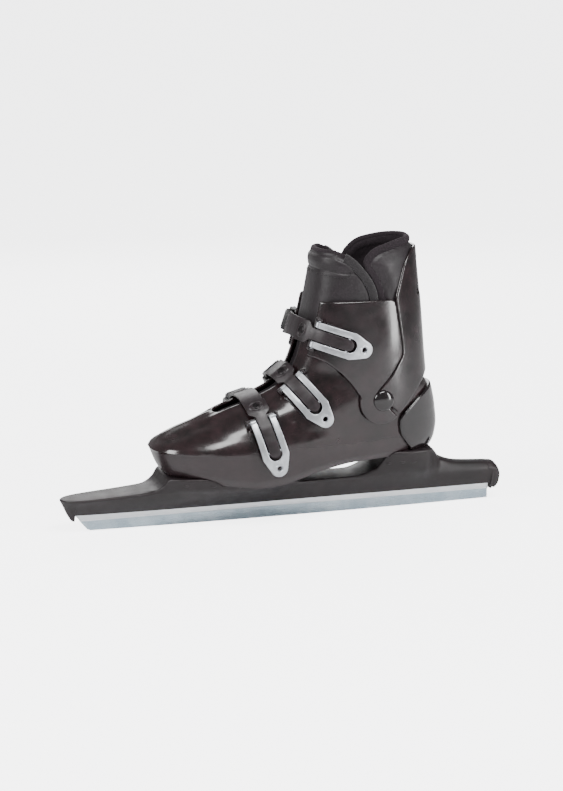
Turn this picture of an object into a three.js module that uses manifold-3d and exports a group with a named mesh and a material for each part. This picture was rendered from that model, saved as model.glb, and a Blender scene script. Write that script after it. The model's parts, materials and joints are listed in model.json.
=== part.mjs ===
// Left speed skate: a plastic blade holder with its rail and runner, a hard boot shell with a
// hinged cuff and spoiler, a soft liner, and three over-centre buckles with ladder straps.
// Millimetres. Toe towards -X, heel +X, lateral (buckle) side -Y, up +Z. Origin: bottom centre.
import * as THREE from 'three'
import { mergeVertices } from 'three/addons/utils/BufferGeometryUtils.js'
import Module from 'manifold-3d'

const wasm = await Module()
wasm.setup()

// ---- driving sizes ----
const clearance = 0.3 // gap left between neighbouring pieces
const overallLength = 443 // tip of the blade holder to its rear cap
const runnerThickness = 1.6
const runnerRadius = 12000 // rocker of the running edge
const runnerTop = 15.6 // buried edge of the runner
const railWidth = 4.6
const railBottom = 10.6
const railTop = 21
const holderBottom = 17.2 // lower edge of the plastic holder
const capLength = 15.2
const bootWidth = 104 // outline across the ball; the shell comes out 97 wide, as the outline narrows to the heel
const ankleNarrowing = 12 // how much less the outline outside the cuff measures than bootWidth
const soleLevel = 40 // lowest point of the shell
const shellWall = 3
const shellFloor = 4
const cuffWall = 3
const linerGap = 1.8 // air between a plastic wall and the liner
const linerThickness = 5.5
const insoleThickness = 3
const cuffHeight = 214 // top edge of the cuff above the floor
const spoilerHeight = 261
const linerHeight = 271
const slotWidth = 18 // instep opening of the shell
const cuffGap = 60 // front opening of the cuff
const pivot = { x: 82.5, z: 118 } // ankle axis
const rivetHead = 20
const rivetShank = 8
const boltHead = 11
const boltShank = 6
const strapWidth = 20
const strapThickness = 1.8
const forkLength = 56
const forkWidth = 26
const forkThickness = 4
const linkWidth = 11
const linkPinReach = 31.5 // hinge pin to link pin
const pinDiameter = 2.4
const holderFront = -overallLength / 2
const holderBack = overallLength / 2

// ---- small helpers ----
const point = (x, y, z) => new THREE.Vector3(x, y, z)

// Smooth curve through [at, value] pairs that never overshoots them.
function curveThrough(pairs) {
  const last = pairs.length - 1
  const slope = (i) => (pairs[i + 1][1] - pairs[i][1]) / (pairs[i + 1][0] - pairs[i][0])
  const tangent = (i) => {
    if (i === 0 || i === last) return slope(Math.min(i, last - 1))
    const [before, after] = [slope(i - 1), slope(i)]
    return before * after <= 0 ? 0 : (2 * before * after) / (before + after)
  }
  return (at) => {
    if (at <= pairs[0][0]) return pairs[0][1]
    if (at >= pairs[last][0]) return pairs[last][1]
    const i = pairs.findIndex((pair) => pair[0] > at) - 1
    const step = pairs[i + 1][0] - pairs[i][0]
    const t = (at - pairs[i][0]) / step
    const [t2, t3] = [t * t, t * t * t]
    return (2 * t3 - 3 * t2 + 1) * pairs[i][1] + (t3 - 2 * t2 + t) * step * tangent(i) +
      (3 * t2 - 2 * t3) * pairs[i + 1][1] + (t3 - t2) * step * tangent(i + 1)
  }
}

function toSolid(geometry) {
  const bare = geometry.clone()
  bare.deleteAttribute('normal')
  bare.deleteAttribute('uv')
  const merged = mergeVertices(bare, 1e-4)
  return new wasm.Manifold(new wasm.Mesh({
    numProp: 3,
    vertProperties: new Float32Array(merged.attributes.position.array),
    triVerts: new Uint32Array(merged.index.array),
  }))
}

function toGeometry(solid) {
  const mesh = solid.getMesh()
  const geometry = new THREE.BufferGeometry()
  geometry.setAttribute('position', new THREE.BufferAttribute(new Float32Array(mesh.vertProperties), 3))
  geometry.setIndex(new THREE.BufferAttribute(new Uint32Array(mesh.triVerts), 1))
  return geometry
}

const join = (...solids) => solids.reduce((all, next) => all.add(next))
const cut = (solid, ...tools) => tools.reduce((left, tool) => left.subtract(tool), solid)
const common = (...solids) => solids.reduce((all, next) => all.intersect(next))

function placed(geometry, x = 0, y = 0, z = 0) {
  return toSolid(geometry.translate(x, y, z))
}

// Block between two corners.
function block(low, high) {
  const size = high.map((value, i) => value - low[i])
  const middle = high.map((value, i) => (value + low[i]) / 2)
  return placed(new THREE.BoxGeometry(...size), ...middle)
}

// Round bar along Y (the default), X or Z between two values on that axis.
function bar(diameter, from, to, at, axis = 'y', sides = 16) {
  const geometry = new THREE.CylinderGeometry(diameter / 2, diameter / 2, Math.abs(to - from), sides)
  if (axis === 'z') geometry.rotateX(Math.PI / 2)
  if (axis === 'x') geometry.rotateZ(Math.PI / 2)
  const middle = { x: at.x ?? 0, y: at.y ?? 0, z: at.z ?? 0 }
  middle[axis] = (from + to) / 2
  return placed(geometry, middle.x, middle.y, middle.z)
}

// Closed solid through rings of points that mirror across Y = 0 from their first point.
function loftRings(rings) {
  const count = rings[0].length
  const positions = rings.flat().flatMap((p) => [p.x, p.y, p.z])
  const faces = []
  const quad = (a, b, c, d) => faces.push(a, b, c, a, c, d)
  for (let row = 0; row < rings.length - 1; row++) {
    for (let i = 0; i < count; i++) {
      const next = (i + 1) % count
      quad(row * count + i, row * count + next, (row + 1) * count + next, (row + 1) * count + i)
    }
  }
  const lid = (base, flip) => {
    for (let i = 0; i < count / 2; i++) {
      const [a, b] = [base + i, base + i + 1]
      const [c, d] = [base + (count - i - 1), base + ((count - i) % count)]
      const corners = a === d ? [[a, b, c]] : b === c ? [[a, b, d]] : [[a, b, c], [a, c, d]]
      corners.forEach((t) => faces.push(...(flip ? t.reverse() : t)))
    }
  }
  lid(0, true)
  lid((rings.length - 1) * count, false)
  const geometry = new THREE.BufferGeometry()
  geometry.setAttribute('position', new THREE.Float32BufferAttribute(positions, 3))
  geometry.setIndex(faces)
  const solid = toSolid(geometry)
  return solid.volume() > 0 ? solid : toSolid(flipped(geometry))
}

function flipped(geometry) {
  const index = Array.from(geometry.index.array)
  for (let i = 0; i < index.length; i += 3) [index[i], index[i + 1]] = [index[i + 1], index[i]]
  geometry.setIndex(index)
  return geometry
}

// Outline from a shape or a list of pairs, with no point twice.
function cleanOutline(outline, segments = 5) {
  const points = outline instanceof THREE.Shape ? outline.getPoints(segments) :
    outline.map(([x, y]) => new THREE.Vector2(x, y))
  return new THREE.Shape(points.filter((here, i) => here.distanceTo(points[(i + 1) % points.length]) > 0.01))
}

// Flat outline extruded along Z from one height to another; outline points are [x, y].
function plate(outline, low, high) {
  const options = { depth: high - low, bevelEnabled: false }
  return toSolid(new THREE.ExtrudeGeometry(cleanOutline(outline), options).translate(0, 0, low))
}

// Flat outline extruded along Y, centred on Y = 0; outline points are [x, z].
function sideCut(outline, width) {
  const options = { depth: width, bevelEnabled: false }
  const geometry = new THREE.ExtrudeGeometry(cleanOutline(outline), options)
  return toSolid(geometry.translate(0, 0, -width / 2).rotateX(Math.PI / 2))
}

const group = new THREE.Group()

function addPiece(name, solid, finish, parent = group) {
  const mesh = new THREE.Mesh(toGeometry(solid), finish)
  mesh.name = name
  parent.add(mesh)
  return mesh
}

// ---- finishes ----
const finishes = {
  holderPlastic: new THREE.MeshStandardMaterial({ color: 0x3a3136, roughness: 0.55, metalness: 0 }),
  shellPlastic: new THREE.MeshStandardMaterial({ color: 0x2b2224, roughness: 0.25, metalness: 0 }),
  cuffPlastic: new THREE.MeshStandardMaterial({ color: 0x241c1e, roughness: 0.2, metalness: 0 }),
  strapPlastic: new THREE.MeshStandardMaterial({ color: 0x40373b, roughness: 0.5, metalness: 0 }),
  catchPlastic: new THREE.MeshStandardMaterial({ color: 0x111012, roughness: 0.4, metalness: 0 }),
  alloy: new THREE.MeshStandardMaterial({ color: 0xc9ccd2, roughness: 0.35, metalness: 0.9 }),
  bladeSteel: new THREE.MeshStandardMaterial({ color: 0xcfd6dc, roughness: 0.2, metalness: 1 }),
  pinSteel: new THREE.MeshStandardMaterial({ color: 0x9a9da3, roughness: 0.35, metalness: 1 }),
  linerLeather: new THREE.MeshStandardMaterial({ color: 0x2e2a2e, roughness: 0.7, metalness: 0 }),
  footbedFelt: new THREE.MeshStandardMaterial({ color: 0x55504f, roughness: 0.95, metalness: 0 }),
}

// ---- boot skins ----
// A skin is the outside of the shell or the cuff as level outlines. Each level has its foremost and
// rearmost X, its half widths at the ball and the heel, and how square its front and back are.
const skinSteps = 24

function makeSkin(curves) {
  const at = Object.fromEntries(Object.entries(curves).map(([key, pairs]) => [key, curveThrough(pairs)]))
  const level = (z) => {
    const [front, back] = [at.front(z), at.back(z)]
    return { middle: (front + back) / 2, reach: (back - front) / 2, ball: at.ball(z), heel: at.heel(z),
      square: at.square(z) }
  }
  const outline = (z, turn) => {
    const { middle, reach, ball, heel, square } = level(z)
    const [cos, sin] = [Math.cos(turn), Math.sin(turn)]
    const power = cos > 0 ? square : curves.heelSquare
    const x = middle - reach * Math.sign(cos) * Math.abs(cos) ** power
    const blend = THREE.MathUtils.smoothstep(-cos, -0.6, 0.7)
    const y = -(ball + (heel - ball) * blend) * Math.sign(sin) * Math.abs(sin) ** power
    const rise = curves.rise ? curves.rise(x) * (1 - THREE.MathUtils.clamp((z - soleLevel) / 60, 0, 1)) : 0
    return point(x, y, z + rise)
  }
  const offsetPoint = (z, turn, offset) => {
    const here = outline(z, turn)
    if (offset === 0) return here
    const small = 0.02
    const alongTurn = outline(z, turn + small).sub(outline(z, turn - small))
    const alongZ = outline(z + 0.5, turn).sub(outline(z - 0.5, turn))
    return here.addScaledVector(alongTurn.cross(alongZ).normalize(), offset)
  }
  // Half width of the skin in the upright plane through x at height z; 0 in front of the skin.
  const halfWidth = (x, z) => {
    const { middle, reach, square } = level(z)
    const share = (middle - x) / reach
    if (Math.abs(share) >= 1) return 0
    const power = share > 0 ? square : curves.heelSquare
    const turn = Math.acos(Math.sign(share) * Math.abs(share) ** (1 / power))
    return Math.abs(outline(z, turn).y)
  }
  return { levels: curves.levels, offsetPoint, halfWidth }
}

// Solid inside a skin moved outward by an offset, between two levels.
function skinSolid(skin, offset, low = skin.levels[0], high = skin.levels.at(-1)) {
  const inner = skin.levels.filter((z) => z > low + 1 && z < high - 1)
  const rings = [low, ...inner, high].map((z) => Array.from({ length: skinSteps }, (_, i) =>
    skin.offsetPoint(z, (2 * Math.PI * i) / skinSteps, offset)))
  return loftRings(rings)
}

const ball = bootWidth / 2
const ankle = (bootWidth - ankleNarrowing) / 2
const soleRise = curveThrough([[-124, 9], [-96, 7], [-57, 2], [-36, 0], [-15, 1.5], [3, 6], [18, 10.5],
  [60, 17], [100, 17.5], [150, 17]])

const shellSkin = makeSkin({
  levels: [40, 46, 54, 64, 75, 80, 91, 103, 115, 127, 136, 148, 161, 177],
  front: [[40, -117], [50, -126], [62, -131], [75, -133.5], [84, -126], [92, -113], [101, -92],
    [109, -73], [120, -42], [132, -15], [145, -1], [158, 6], [177, 12]],
  back: [[40, 133], [50, 142], [64, 147], [80, 148.5], [100, 147], [118, 143.5], [127, 140.5],
    [136, 133.5], [150, 124.5], [160, 120], [177, 118]],
  ball: [[40, ball - 9], [50, ball - 3], [62, ball - 0.6], [76, ball], [92, ball - 4], [110, ball - 7.5],
    [130, ball - 11], [150, ball - 13], [177, ball - 13]],
  heel: [[40, ball - 18], [50, ball - 14], [76, ball - 11.5], [100, ankle - 4.6], [118, ankle - 4.6],
    [150, ankle - 5], [177, ankle - 7]],
  square: [[40, 0.8], [75, 0.78], [95, 0.92], [115, 1], [140, 0.78], [158, 0.66], [177, 0.64]],
  heelSquare: 0.9,
  rise: soleRise,
})

const cuffSkin = makeSkin({
  levels: [86, 100, 118, 136, 154, 174, 194, 214, 238, 261, 272],
  front: [[86, -3], [120, -3], [145, -1], [162, 3], [177, 7], [214, 15], [272, 24]],
  back: [[86, 143], [118, 141.5], [140, 139.3], [160, 137.2], [205, 133.3], [240, 129.5], [272, 126]],
  ball: [[86, ankle - 1], [118, ankle - 1], [160, ankle - 1.5], [214, ankle - 3], [272, ankle - 8]],
  heel: [[86, ankle], [118, ankle], [160, ankle - 1], [214, ankle - 5], [272, ankle - 11]],
  square: [[86, 0.72], [162, 0.66], [214, 0.68], [272, 0.8]],
  heelSquare: 0.9,
})

// The heel counter stands out from the rest of the shell.
const counterHeight = 3.4
const counterSide = [[145, 127.5], [124, 116], [105, 100], [103, 92], [104.5, 82], [122, 58], [132, 48],
  [170, 48], [170, 127.5]]
const counter = common(skinSolid(shellSkin, counterHeight, 47, 130), sideCut(counterSide, 200))
const counterKeepOut = common(skinSolid(shellSkin, counterHeight + clearance, 46.6, 131),
  sideCut(counterSide.map(([x, z]) => [x - 2 * clearance, z]), 200))
const shellOuter = join(skinSolid(shellSkin, 0), counter)
const shellKeepOut = join(skinSolid(shellSkin, clearance, soleLevel - clearance), counterKeepOut)
const cuffOuter = skinSolid(cuffSkin, 0)
const cuffKeepOut = skinSolid(cuffSkin, clearance)

// ---- blade ----
const bladeFront = holderFront + 13.2
const bladeBack = holderBack - 11.8

// The running edge is an arc, laid down as short flats; the middle flat stands on the floor.
function buildRunner() {
  const front = bladeFront + 15
  const flats = 9
  const middle = (front + bladeBack) / 2
  const half = (bladeBack - front) / flats / 2
  const edge = Array.from({ length: flats + 1 }, (_, i) => {
    const x = front + 2 * half * i
    return [x, Math.max(0, Math.abs(x - middle) - half) ** 2 / (2 * runnerRadius)]
  })
  const nose = [[bladeFront + 2, runnerTop], [bladeFront + 5, 11], [bladeFront + 9, 6]]
  return sideCut([...nose, ...edge, [bladeBack, runnerTop]], runnerThickness)
}

const railSlot = block([holderFront, -runnerThickness / 2 - clearance, 0],
  [holderBack, runnerThickness / 2 + clearance, runnerTop + clearance])

function buildRail() {
  const side = [[bladeFront, railTop], [bladeFront, holderBottom], [bladeFront + 6, railBottom],
    [bladeBack, railBottom], [bladeBack, railTop]]
  return cut(sideCut(side, railWidth), railSlot)
}

addPiece('runner', buildRunner(), finishes.bladeSteel)
addPiece('blade_rail', buildRail(), finishes.alloy)

// ---- blade holder ----
// Cross-sections along X: bottom, flank, deck edge, rim and middle of the top.
const toeStart = -131 // where the deck meets the front cup
const heelEnd = 156 // where the heel cup has run down to the rear beam
const alongNose = (share) => holderFront + (toeStart - holderFront) * share
const alongTail = (share) => heelEnd + (holderBack - capLength - heelEnd) * share
const seam = holderBack - capLength

const holder = {
  bottom: curveThrough([[alongNose(0), 31.5], [alongNose(0.13), 11.6], [alongNose(0.14), 11.6]]),
  bottomHalf: curveThrough([[alongNose(0), 1], [alongNose(0.1), 3.4], [alongNose(0.5), 6], [-100, 7.5],
    [100, 7], [seam, 6]]),
  flankHalf: curveThrough([[alongNose(0), 2], [alongNose(0.13), 9.5], [toeStart, 15.5], [-80, 20],
    [-50, 20], [8, 13], [115, 13], [heelEnd, 11], [seam, 10.5]]),
  deckEdge: curveThrough([[alongNose(0), 32.8], [toeStart, 38.4], [-110, 40.5], [-50, 38], [60, 37],
    [110, 42], [140, 39], [heelEnd, 34.8], [seam, 34.4]]),
  deckHalf: curveThrough([[alongNose(0), 3], [alongNose(0.03), 8.5], [alongNose(0.08), 12.5],
    [alongNose(0.2), 16], [toeStart, 22.5], [-108, 31], [-80, 35], [-45, 35], [-8, 25], [10, 21],
    [60, 19], [96, 22], [115, 24], [135, 22], [148, 14], [heelEnd, 11.6], [seam, 11]]),
  rim: curveThrough([[alongNose(0), 33.4], [toeStart, 39.6], [toeStart + 7, 52], [-100, 52], [-50, 46],
    [-25, 45], [-6, 42], [10, 38.4], [62, 38.4], [84, 45], [98, 62], [140, 62], [150, 54], [heelEnd, 47],
    [alongTail(0.35), 41.4], [seam, 39]]),
  rimHalf: curveThrough([[alongNose(0), 2.4], [alongNose(0.03), 7.5], [alongNose(0.08), 11.6],
    [alongNose(0.2), 15], [toeStart, 21.4], [toeStart + 7, 27], [-108, 35], [-80, 38.5], [-45, 38.5],
    [-8, 29], [10, 20], [62, 18], [84, 21], [100, 29], [118, 31], [136, 27], [150, 13], [heelEnd, 8],
    [seam, 7]]),
  crown: curveThrough([[alongNose(0), 0.2], [toeStart, 0.5], [toeStart + 7, 0], [heelEnd, 2], [seam, 2]]),
}

const flankLevel = 27

function holderSection(x) {
  const low = x < alongNose(0.145) ? holder.bottom(x) : holderBottom
  const flank = Math.max(low + 0.6, Math.min(flankLevel, holder.deckEdge(x) - 5))
  const half = [[holder.bottomHalf(x), low], [holder.flankHalf(x), flank],
    [holder.deckHalf(x), holder.deckEdge(x)], [holder.rimHalf(x), holder.rim(x)]]
  const top = holder.rim(x) + holder.crown(x)
  const lateral = half.map(([y, z]) => point(x, -y, z))
  const medial = half.map(([y, z]) => point(x, y, z)).reverse()
  return [point(x, 0, low), ...lateral, point(x, 0, top), ...medial]
}

const bolts = [
  { name: 'front_bolt', x: -84 },
  { name: 'ball_bolt', x: -32 },
  { name: 'heel_front_bolt', x: 100 },
  { name: 'heel_rear_bolt', x: 124 },
].map((bolt) => ({ ...bolt, seat: soleLevel + soleRise(bolt.x) + shellFloor - 2.7 }))
const boltLength = 17

const railPocket = block([holderFront + 12.6, -railWidth / 2 - clearance, 0],
  [holderBack, railWidth / 2 + clearance, railTop + clearance])
const capPocket = { low: 24.5, high: 35, half: 6, depth: 14 }

function buildHolder() {
  const nose = [0, 0.012, 0.03, 0.055, 0.09, 0.139, 0.146, 0.3, 0.5, 0.75, 1].map(alongNose)
  const middle = [-127, -124, -119, -113, -105, -92, -75, -55, -38, -24, -14, -6, 2, 11, 35, 60, 72, 82,
    90, 98, 108, 122, 135, 142, 148, 152]
  const tail = [0, 0.15, 0.35, 0.65, 1].map(alongTail)
  const body = loftRings([...nose, ...middle, ...tail].map(holderSection))
  const pocket = block([seam - capPocket.depth, -capPocket.half, capPocket.low],
    [seam + 1, capPocket.half, capPocket.high])
  const holes = bolts.map((bolt) => bar(boltShank + 2 * clearance, bolt.seat - boltLength - 1, bolt.seat + 9,
    { x: bolt.x }, 'z', 12))
  return cut(body, shellKeepOut, railPocket, pocket, ...holes)
}

function buildCap() {
  const start = seam + clearance
  const nose = (share) => start + (holderBack - start) * share
  const section = (x, low, lowHalf, middle, middleHalf, high, highHalf) => {
    const half = [[lowHalf, low], [middleHalf, middle], [highHalf, high]]
    return [point(x, 0, low), ...half.map(([y, z]) => point(x, -y, z)), point(x, 0, high + highHalf * 0.25),
      ...half.map(([y, z]) => point(x, y, z)).reverse()]
  }
  const bladeEnd = nose(0.3)
  const body = loftRings([
    section(start, holderBottom, 6, 34.4, 11, 39, 7),
    section(bladeEnd - 0.1, holderBottom, 6, 34, 10.8, 38.6, 7),
    section(bladeEnd, 11.4, 5.4, 34, 10.8, 38.6, 7),
    section(nose(0.55), 12, 5.2, 33, 10.2, 37, 6.4),
    section(nose(0.8), 14.4, 4.6, 30, 9, 33.4, 5.4),
    section(nose(0.94), 17.4, 3.6, 26, 7, 28.6, 4),
    section(nose(1), 20.5, 2, 23.5, 3.4, 25, 2),
  ])
  const plug = block([seam - capPocket.depth + 1, -capPocket.half + clearance, capPocket.low + clearance],
    [start + 1, capPocket.half - clearance, capPocket.high - clearance])
  return cut(join(body, plug), block([0, -railWidth / 2 - clearance, 0],
    [holderBack - 11.4, railWidth / 2 + clearance, railTop + clearance]))
}

addPiece('blade_holder', buildHolder(), finishes.holderPlastic)
addPiece('heel_end_cap', buildCap(), finishes.holderPlastic)

for (const bolt of bolts) {
  const head = bar(boltHead, bolt.seat, bolt.seat + 2.6, { x: bolt.x }, 'z', 12)
  const socket = bar(5, bolt.seat + 1, bolt.seat + 3, { x: bolt.x }, 'z', 6)
  const shank = bar(boltShank, bolt.seat - boltLength, bolt.seat + 0.5, { x: bolt.x }, 'z', 12)
  addPiece(bolt.name, cut(join(head, shank), socket), finishes.pinSteel)
}

// ---- buckle frames ----
// Each buckle lies in an upright plane through the Y direction. Its own frame has +X from the fork's
// hinge towards its round end, +Y across the strap and +Z away from the boot.
const hingeHeight = 7 // hinge pin above the skin
const forkBow = 6 // the fork and its base are bowed to follow the boot
const buckles = [
  { key: 'toe', skin: shellSkin, hinge: [-36, 105.5], tail: [-23, 58.7], lift: 0.4 },
  { key: 'instep', skin: shellSkin, hinge: [-2, 136.5], tail: [31, 95], lift: 3.8 },
  { key: 'cuff', skin: cuffSkin, hinge: [18, 183.5], tail: [68, 167], lift: 0.4 },
] // lift: how far the strap rises off the skin where it crosses the instep

function buckleFrame(buckle) {
  const onSkin = ([x, z]) => point(x, -buckle.skin.halfWidth(x, z), z)
  const [hinge, tail] = [onSkin(buckle.hinge), onSkin(buckle.tail)]
  const along = tail.clone().sub(hinge).normalize()
  const across = point(-along.z, 0, along.x).normalize()
  const out = along.clone().cross(across).normalize()
  const origin = hinge.clone().addScaledVector(out, hingeHeight)
  return new THREE.Matrix4().makeBasis(along, across, out).setPosition(origin)
}

// Outline of the skin in a buckle's plane, from below the hinge, over the boot, down the other side.
function planeOutline(buckle, frame) {
  const [x, z] = buckle.hinge
  const step = new THREE.Vector2(x - buckle.tail[0], z - buckle.tail[1]).normalize()
  const reachAt = (h) => buckle.skin.halfWidth(x + step.x * h, z + step.y * h)
  let [inside, outside] = [0, 60]
  while (outside - inside > 0.001) {
    const middle = (inside + outside) / 2
    if (reachAt(middle) > 0) inside = middle
    else outside = middle
  }
  const samples = 80
  const start = -6
  const rise = Array.from({ length: samples }, (_, i) =>
    start + (inside - start) * Math.sin((i / samples) * Math.PI / 2))
  const inverse = frame.clone().invert()
  const spot = (h, side) => {
    const local = point(x + step.x * h, side * reachAt(h), z + step.y * h).applyMatrix4(inverse)
    return new THREE.Vector2(local.x, local.z)
  }
  return [...rise.map((h) => spot(h, -1)), spot(inside, 0), ...rise.reverse().map((h) => spot(h, 1))]
}

// The outline moved away from the boot, as points a set distance apart.
function strapLine(outline, offset, lift, lead = []) {
  const moved = outline.map((here, i) => {
    const before = outline[Math.max(i - 3, 0)]
    const after = outline[Math.min(i + 3, outline.length - 1)]
    const along = after.clone().sub(before).normalize()
    const height = offset + lift * THREE.MathUtils.smoothstep(here.distanceTo(outline[0]), 4, 18)
    return new THREE.Vector2(here.x + along.y * height, here.y - along.x * height)
  })
  const spaced = [...lead]
  for (const here of moved) {
    const last = spaced.at(-1)
    if (!last || (here.distanceTo(last) > 2.4 && here.x < last.x + 6)) spaced.push(here)
  }
  return new THREE.SplineCurve(spaced)
}

// Strap of a width and thickness along stretches of a line in the buckle's plane.
function strapSolid(points, widthAt, thicknessAt) {
  const rings = points.map((here, i) => {
    const before = points[Math.max(i - 1, 0)]
    const after = points[Math.min(i + 1, points.length - 1)]
    const along = after.clone().sub(before).normalize()
    const out = new THREE.Vector2(-along.y, along.x).multiplyScalar(-thicknessAt(i) / 2)
    const half = widthAt(i) / 2
    const corner = (y, side) => point(here.x + out.x * side, y, here.y + out.y * side)
    return [corner(0, 1), corner(-half, 1), corner(-half, -1),
      corner(0, -1), corner(half, -1), corner(half, 1)]
  })
  return loftRings(rings)
}

const bow = (x) => forkBow * (1 - ((x - forkLength / 2) / (forkLength / 2)) ** 2)

// Plate with a flat outline, bowed along X like the fork.
function bowedPlate(shape, thickness) {
  const steps = 6
  const ends = [-4, forkLength + 2]
  const along = Array.from({ length: steps + 1 }, (_, i) => ends[0] + ((ends[1] - ends[0]) * i) / steps)
  const top = along.map((x) => [x, bow(x) + thickness / 2])
  const bottom = along.map((x) => [x, bow(x) - thickness / 2]).reverse()
  return common(sideCut([...top, ...bottom], 2 * forkWidth), plate(shape, -20, 20))
}

// ---- buckle pieces, in the buckle's frame ----
const linkPinSpot = { x: linkPinReach, z: bow(linkPinReach) }
const slotHalf = linkWidth / 2 + 1.1
const forkHalf = forkWidth / 2
const earThickness = 2.1
const earInner = forkHalf + clearance + 0.1
const baseGap = 3 // fork's middle plane to the top of the base
const pinHole = pinDiameter + 2 * 0.25

function buildFork() {
  const slotEnd = linkPinReach + 2
  const tipRadius = 6.8
  const shape = new THREE.Shape()
  shape.moveTo(-1.7, slotHalf)
  shape.lineTo(-1.7, forkHalf - 0.6)
  shape.lineTo(forkLength * 0.6, forkHalf - 0.3)
  shape.lineTo(forkLength * 0.65, forkHalf)
  shape.lineTo(forkLength * 0.71, forkHalf - 0.8)
  shape.lineTo(forkLength - tipRadius * 0.75, tipRadius - 0.3)
  shape.absarc(forkLength - tipRadius, 0, tipRadius, 1.2, -1.2, true)
  shape.lineTo(forkLength * 0.71, 0.8 - forkHalf)
  shape.lineTo(forkLength * 0.65, -forkHalf)
  shape.lineTo(forkLength * 0.6, 0.3 - forkHalf)
  shape.lineTo(-1.7, 0.6 - forkHalf)
  shape.lineTo(-1.7, -slotHalf)
  shape.lineTo(slotEnd, -slotHalf)
  shape.absarc(slotEnd, 0, slotHalf, -Math.PI / 2, Math.PI / 2, false)
  shape.lineTo(-1.7, slotHalf)
  const eye = bar(6, -6, 12, { x: forkLength * 0.85 }, 'z', 16)
  return cut(bowedPlate(shape, forkThickness), eye, bar(pinHole, -20, 20, { x: 0, z: 0 }, 'y', 8),
    bar(pinHole, -forkHalf + 1.6, forkHalf - 1.6, linkPinSpot, 'y', 8))
}

function baseSide(front, back) {
  const steps = 6
  const top = Array.from({ length: steps + 1 }, (_, i) => front + ((back - front) * i) / steps)
  return [[front, -16], ...top.map((x) => [x, bow(x) - baseGap]), [back, -16]]
}

const baseRivetAt = 20
const rivetStem = 3.6

function buildBase(keepOut) {
  const tongue = sideCut(baseSide(-3.2, 26), linkWidth)
  const foot = sideCut(baseSide(-3.2, 6), 2 * (earInner + earThickness))
  const ears = [-1, 1].map((side) => {
    const inner = side * earInner
    const outer = side * (earInner + earThickness)
    const cheek = block([-3.2, Math.min(inner, outer), -9], [3.4, Math.max(inner, outer), 0.4])
    const round = bar(5.6, inner, outer, { x: 0, z: 0.2 }, 'y', 12)
    return join(cheek, round)
  })
  const seat = bow(baseRivetAt) - baseGap
  const swing = bar(7.4, -forkHalf - clearance, forkHalf + clearance, { x: 0, z: 0 }, 'y', 16)
  return cut(join(tongue, foot, ...ears), keepOut, swing, bar(pinHole, -20, 20, { x: 0, z: 0 }, 'y', 8),
    bar(6.8, seat - 1, seat + 6, { x: baseRivetAt }, 'z', 12),
    bar(rivetStem + 0.6, -30, seat + 6, { x: baseRivetAt }, 'z', 8))
}

function buildBaseRivet(inside) {
  const seat = bow(baseRivetAt) - baseGap - 1 + clearance
  const head = bar(6, seat, seat + 0.9, { x: baseRivetAt }, 'z', 12)
  return cut(join(head, bar(rivetStem, -12, seat + 0.3, { x: baseRivetAt }, 'z', 8)), inside)
}

const linkOffset = 5.3 // middle of the link plate above the skin
const ladderOffset = 2.8
const screwAt = 15 // along the strap from the hinge
const catchTurn = 118 * (Math.PI / 180) // the strap has turned this far where it enters the catch
const catchReach = 15

function linePoints(curve, from, to, step) {
  const length = curve.getLength()
  const count = Math.max(2, Math.round((to - from) / step))
  return Array.from({ length: count + 1 }, (_, i) =>
    curve.getPointAt((from + ((to - from) * i) / count) / length))
}

function lengthAt(curve, test) {
  const length = curve.getLength()
  for (let s = 0; s < length; s += 0.25) {
    if (test(curve.getPointAt(s / length), curve.getTangentAt(s / length))) return s
  }
  return length
}

// Everything that the strap of one buckle needs to know about its way round the boot.
function strapRoute(buckle, frame) {
  const outline = planeOutline(buckle, frame)
  const reach = linkPinReach + linkWidth / 2
  const lead = [1, 0.9, 0.75, 0.6, 0.45, 0.32, 0.2].map((share) =>
    new THREE.Vector2(reach * share, bow(reach * share)))
  const pastHinge = outline.filter((here) => here.x < 3)
  const link = strapLine(pastHinge, linkOffset, buckle.lift, lead)
  const ladder = strapLine(pastHinge, ladderOffset, buckle.lift)
  const turned = (tangent) => Math.atan2(-tangent.y, -tangent.x)
  const wrapped = (angle) => (angle < -1 ? angle + 2 * Math.PI : angle)
  const entry = lengthAt(ladder, (_, tangent) => wrapped(turned(tangent)) >= catchTurn)
  const hingeAt = lengthAt(link, (here) => here.x <= 0)
  return { link, ladder, entry, hingeAt }
}

function screwFrame(route) {
  const share = (route.hingeAt + screwAt) / route.link.getLength()
  const along = route.link.getTangentAt(share)
  const here = route.link.getPointAt(share)
  return { here, tilt: Math.atan2(along.y, along.x) }
}

function tilted(solid, { here, tilt }) {
  const turn = new THREE.Matrix4().makeRotationY(Math.PI - tilt).setPosition(here.x, 0, here.y)
  return solid.transform(turn.elements)
}

function buildLink(route) {
  const end = route.hingeAt + 25
  const points = linePoints(route.link, 0, end, 3)
  const step = end / (points.length - 1)
  const radius = linkWidth / 2
  const width = (i) => {
    const s = i * step
    if (s < radius) return 2 * Math.sqrt(Math.max(radius ** 2 - (radius - s) ** 2, 2))
    const widened = THREE.MathUtils.smoothstep(s, route.hingeAt + 3.4, route.hingeAt + 9)
    return linkWidth + (strapWidth + 1 - linkWidth) * widened
  }
  const thickness = (i) => 3.7 - 1.3 * THREE.MathUtils.smoothstep(i * step, 12, 22)
  const spot = screwFrame(route)
  return cut(strapSolid(points, width, thickness), bar(pinHole, -20, 20, linkPinSpot, 'y', 8),
    tilted(bar(4.6, -8, 8, {}, 'z', 8), spot), tilted(bar(8.6, 0.1, 4, {}, 'z', 12), spot))
}

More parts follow.
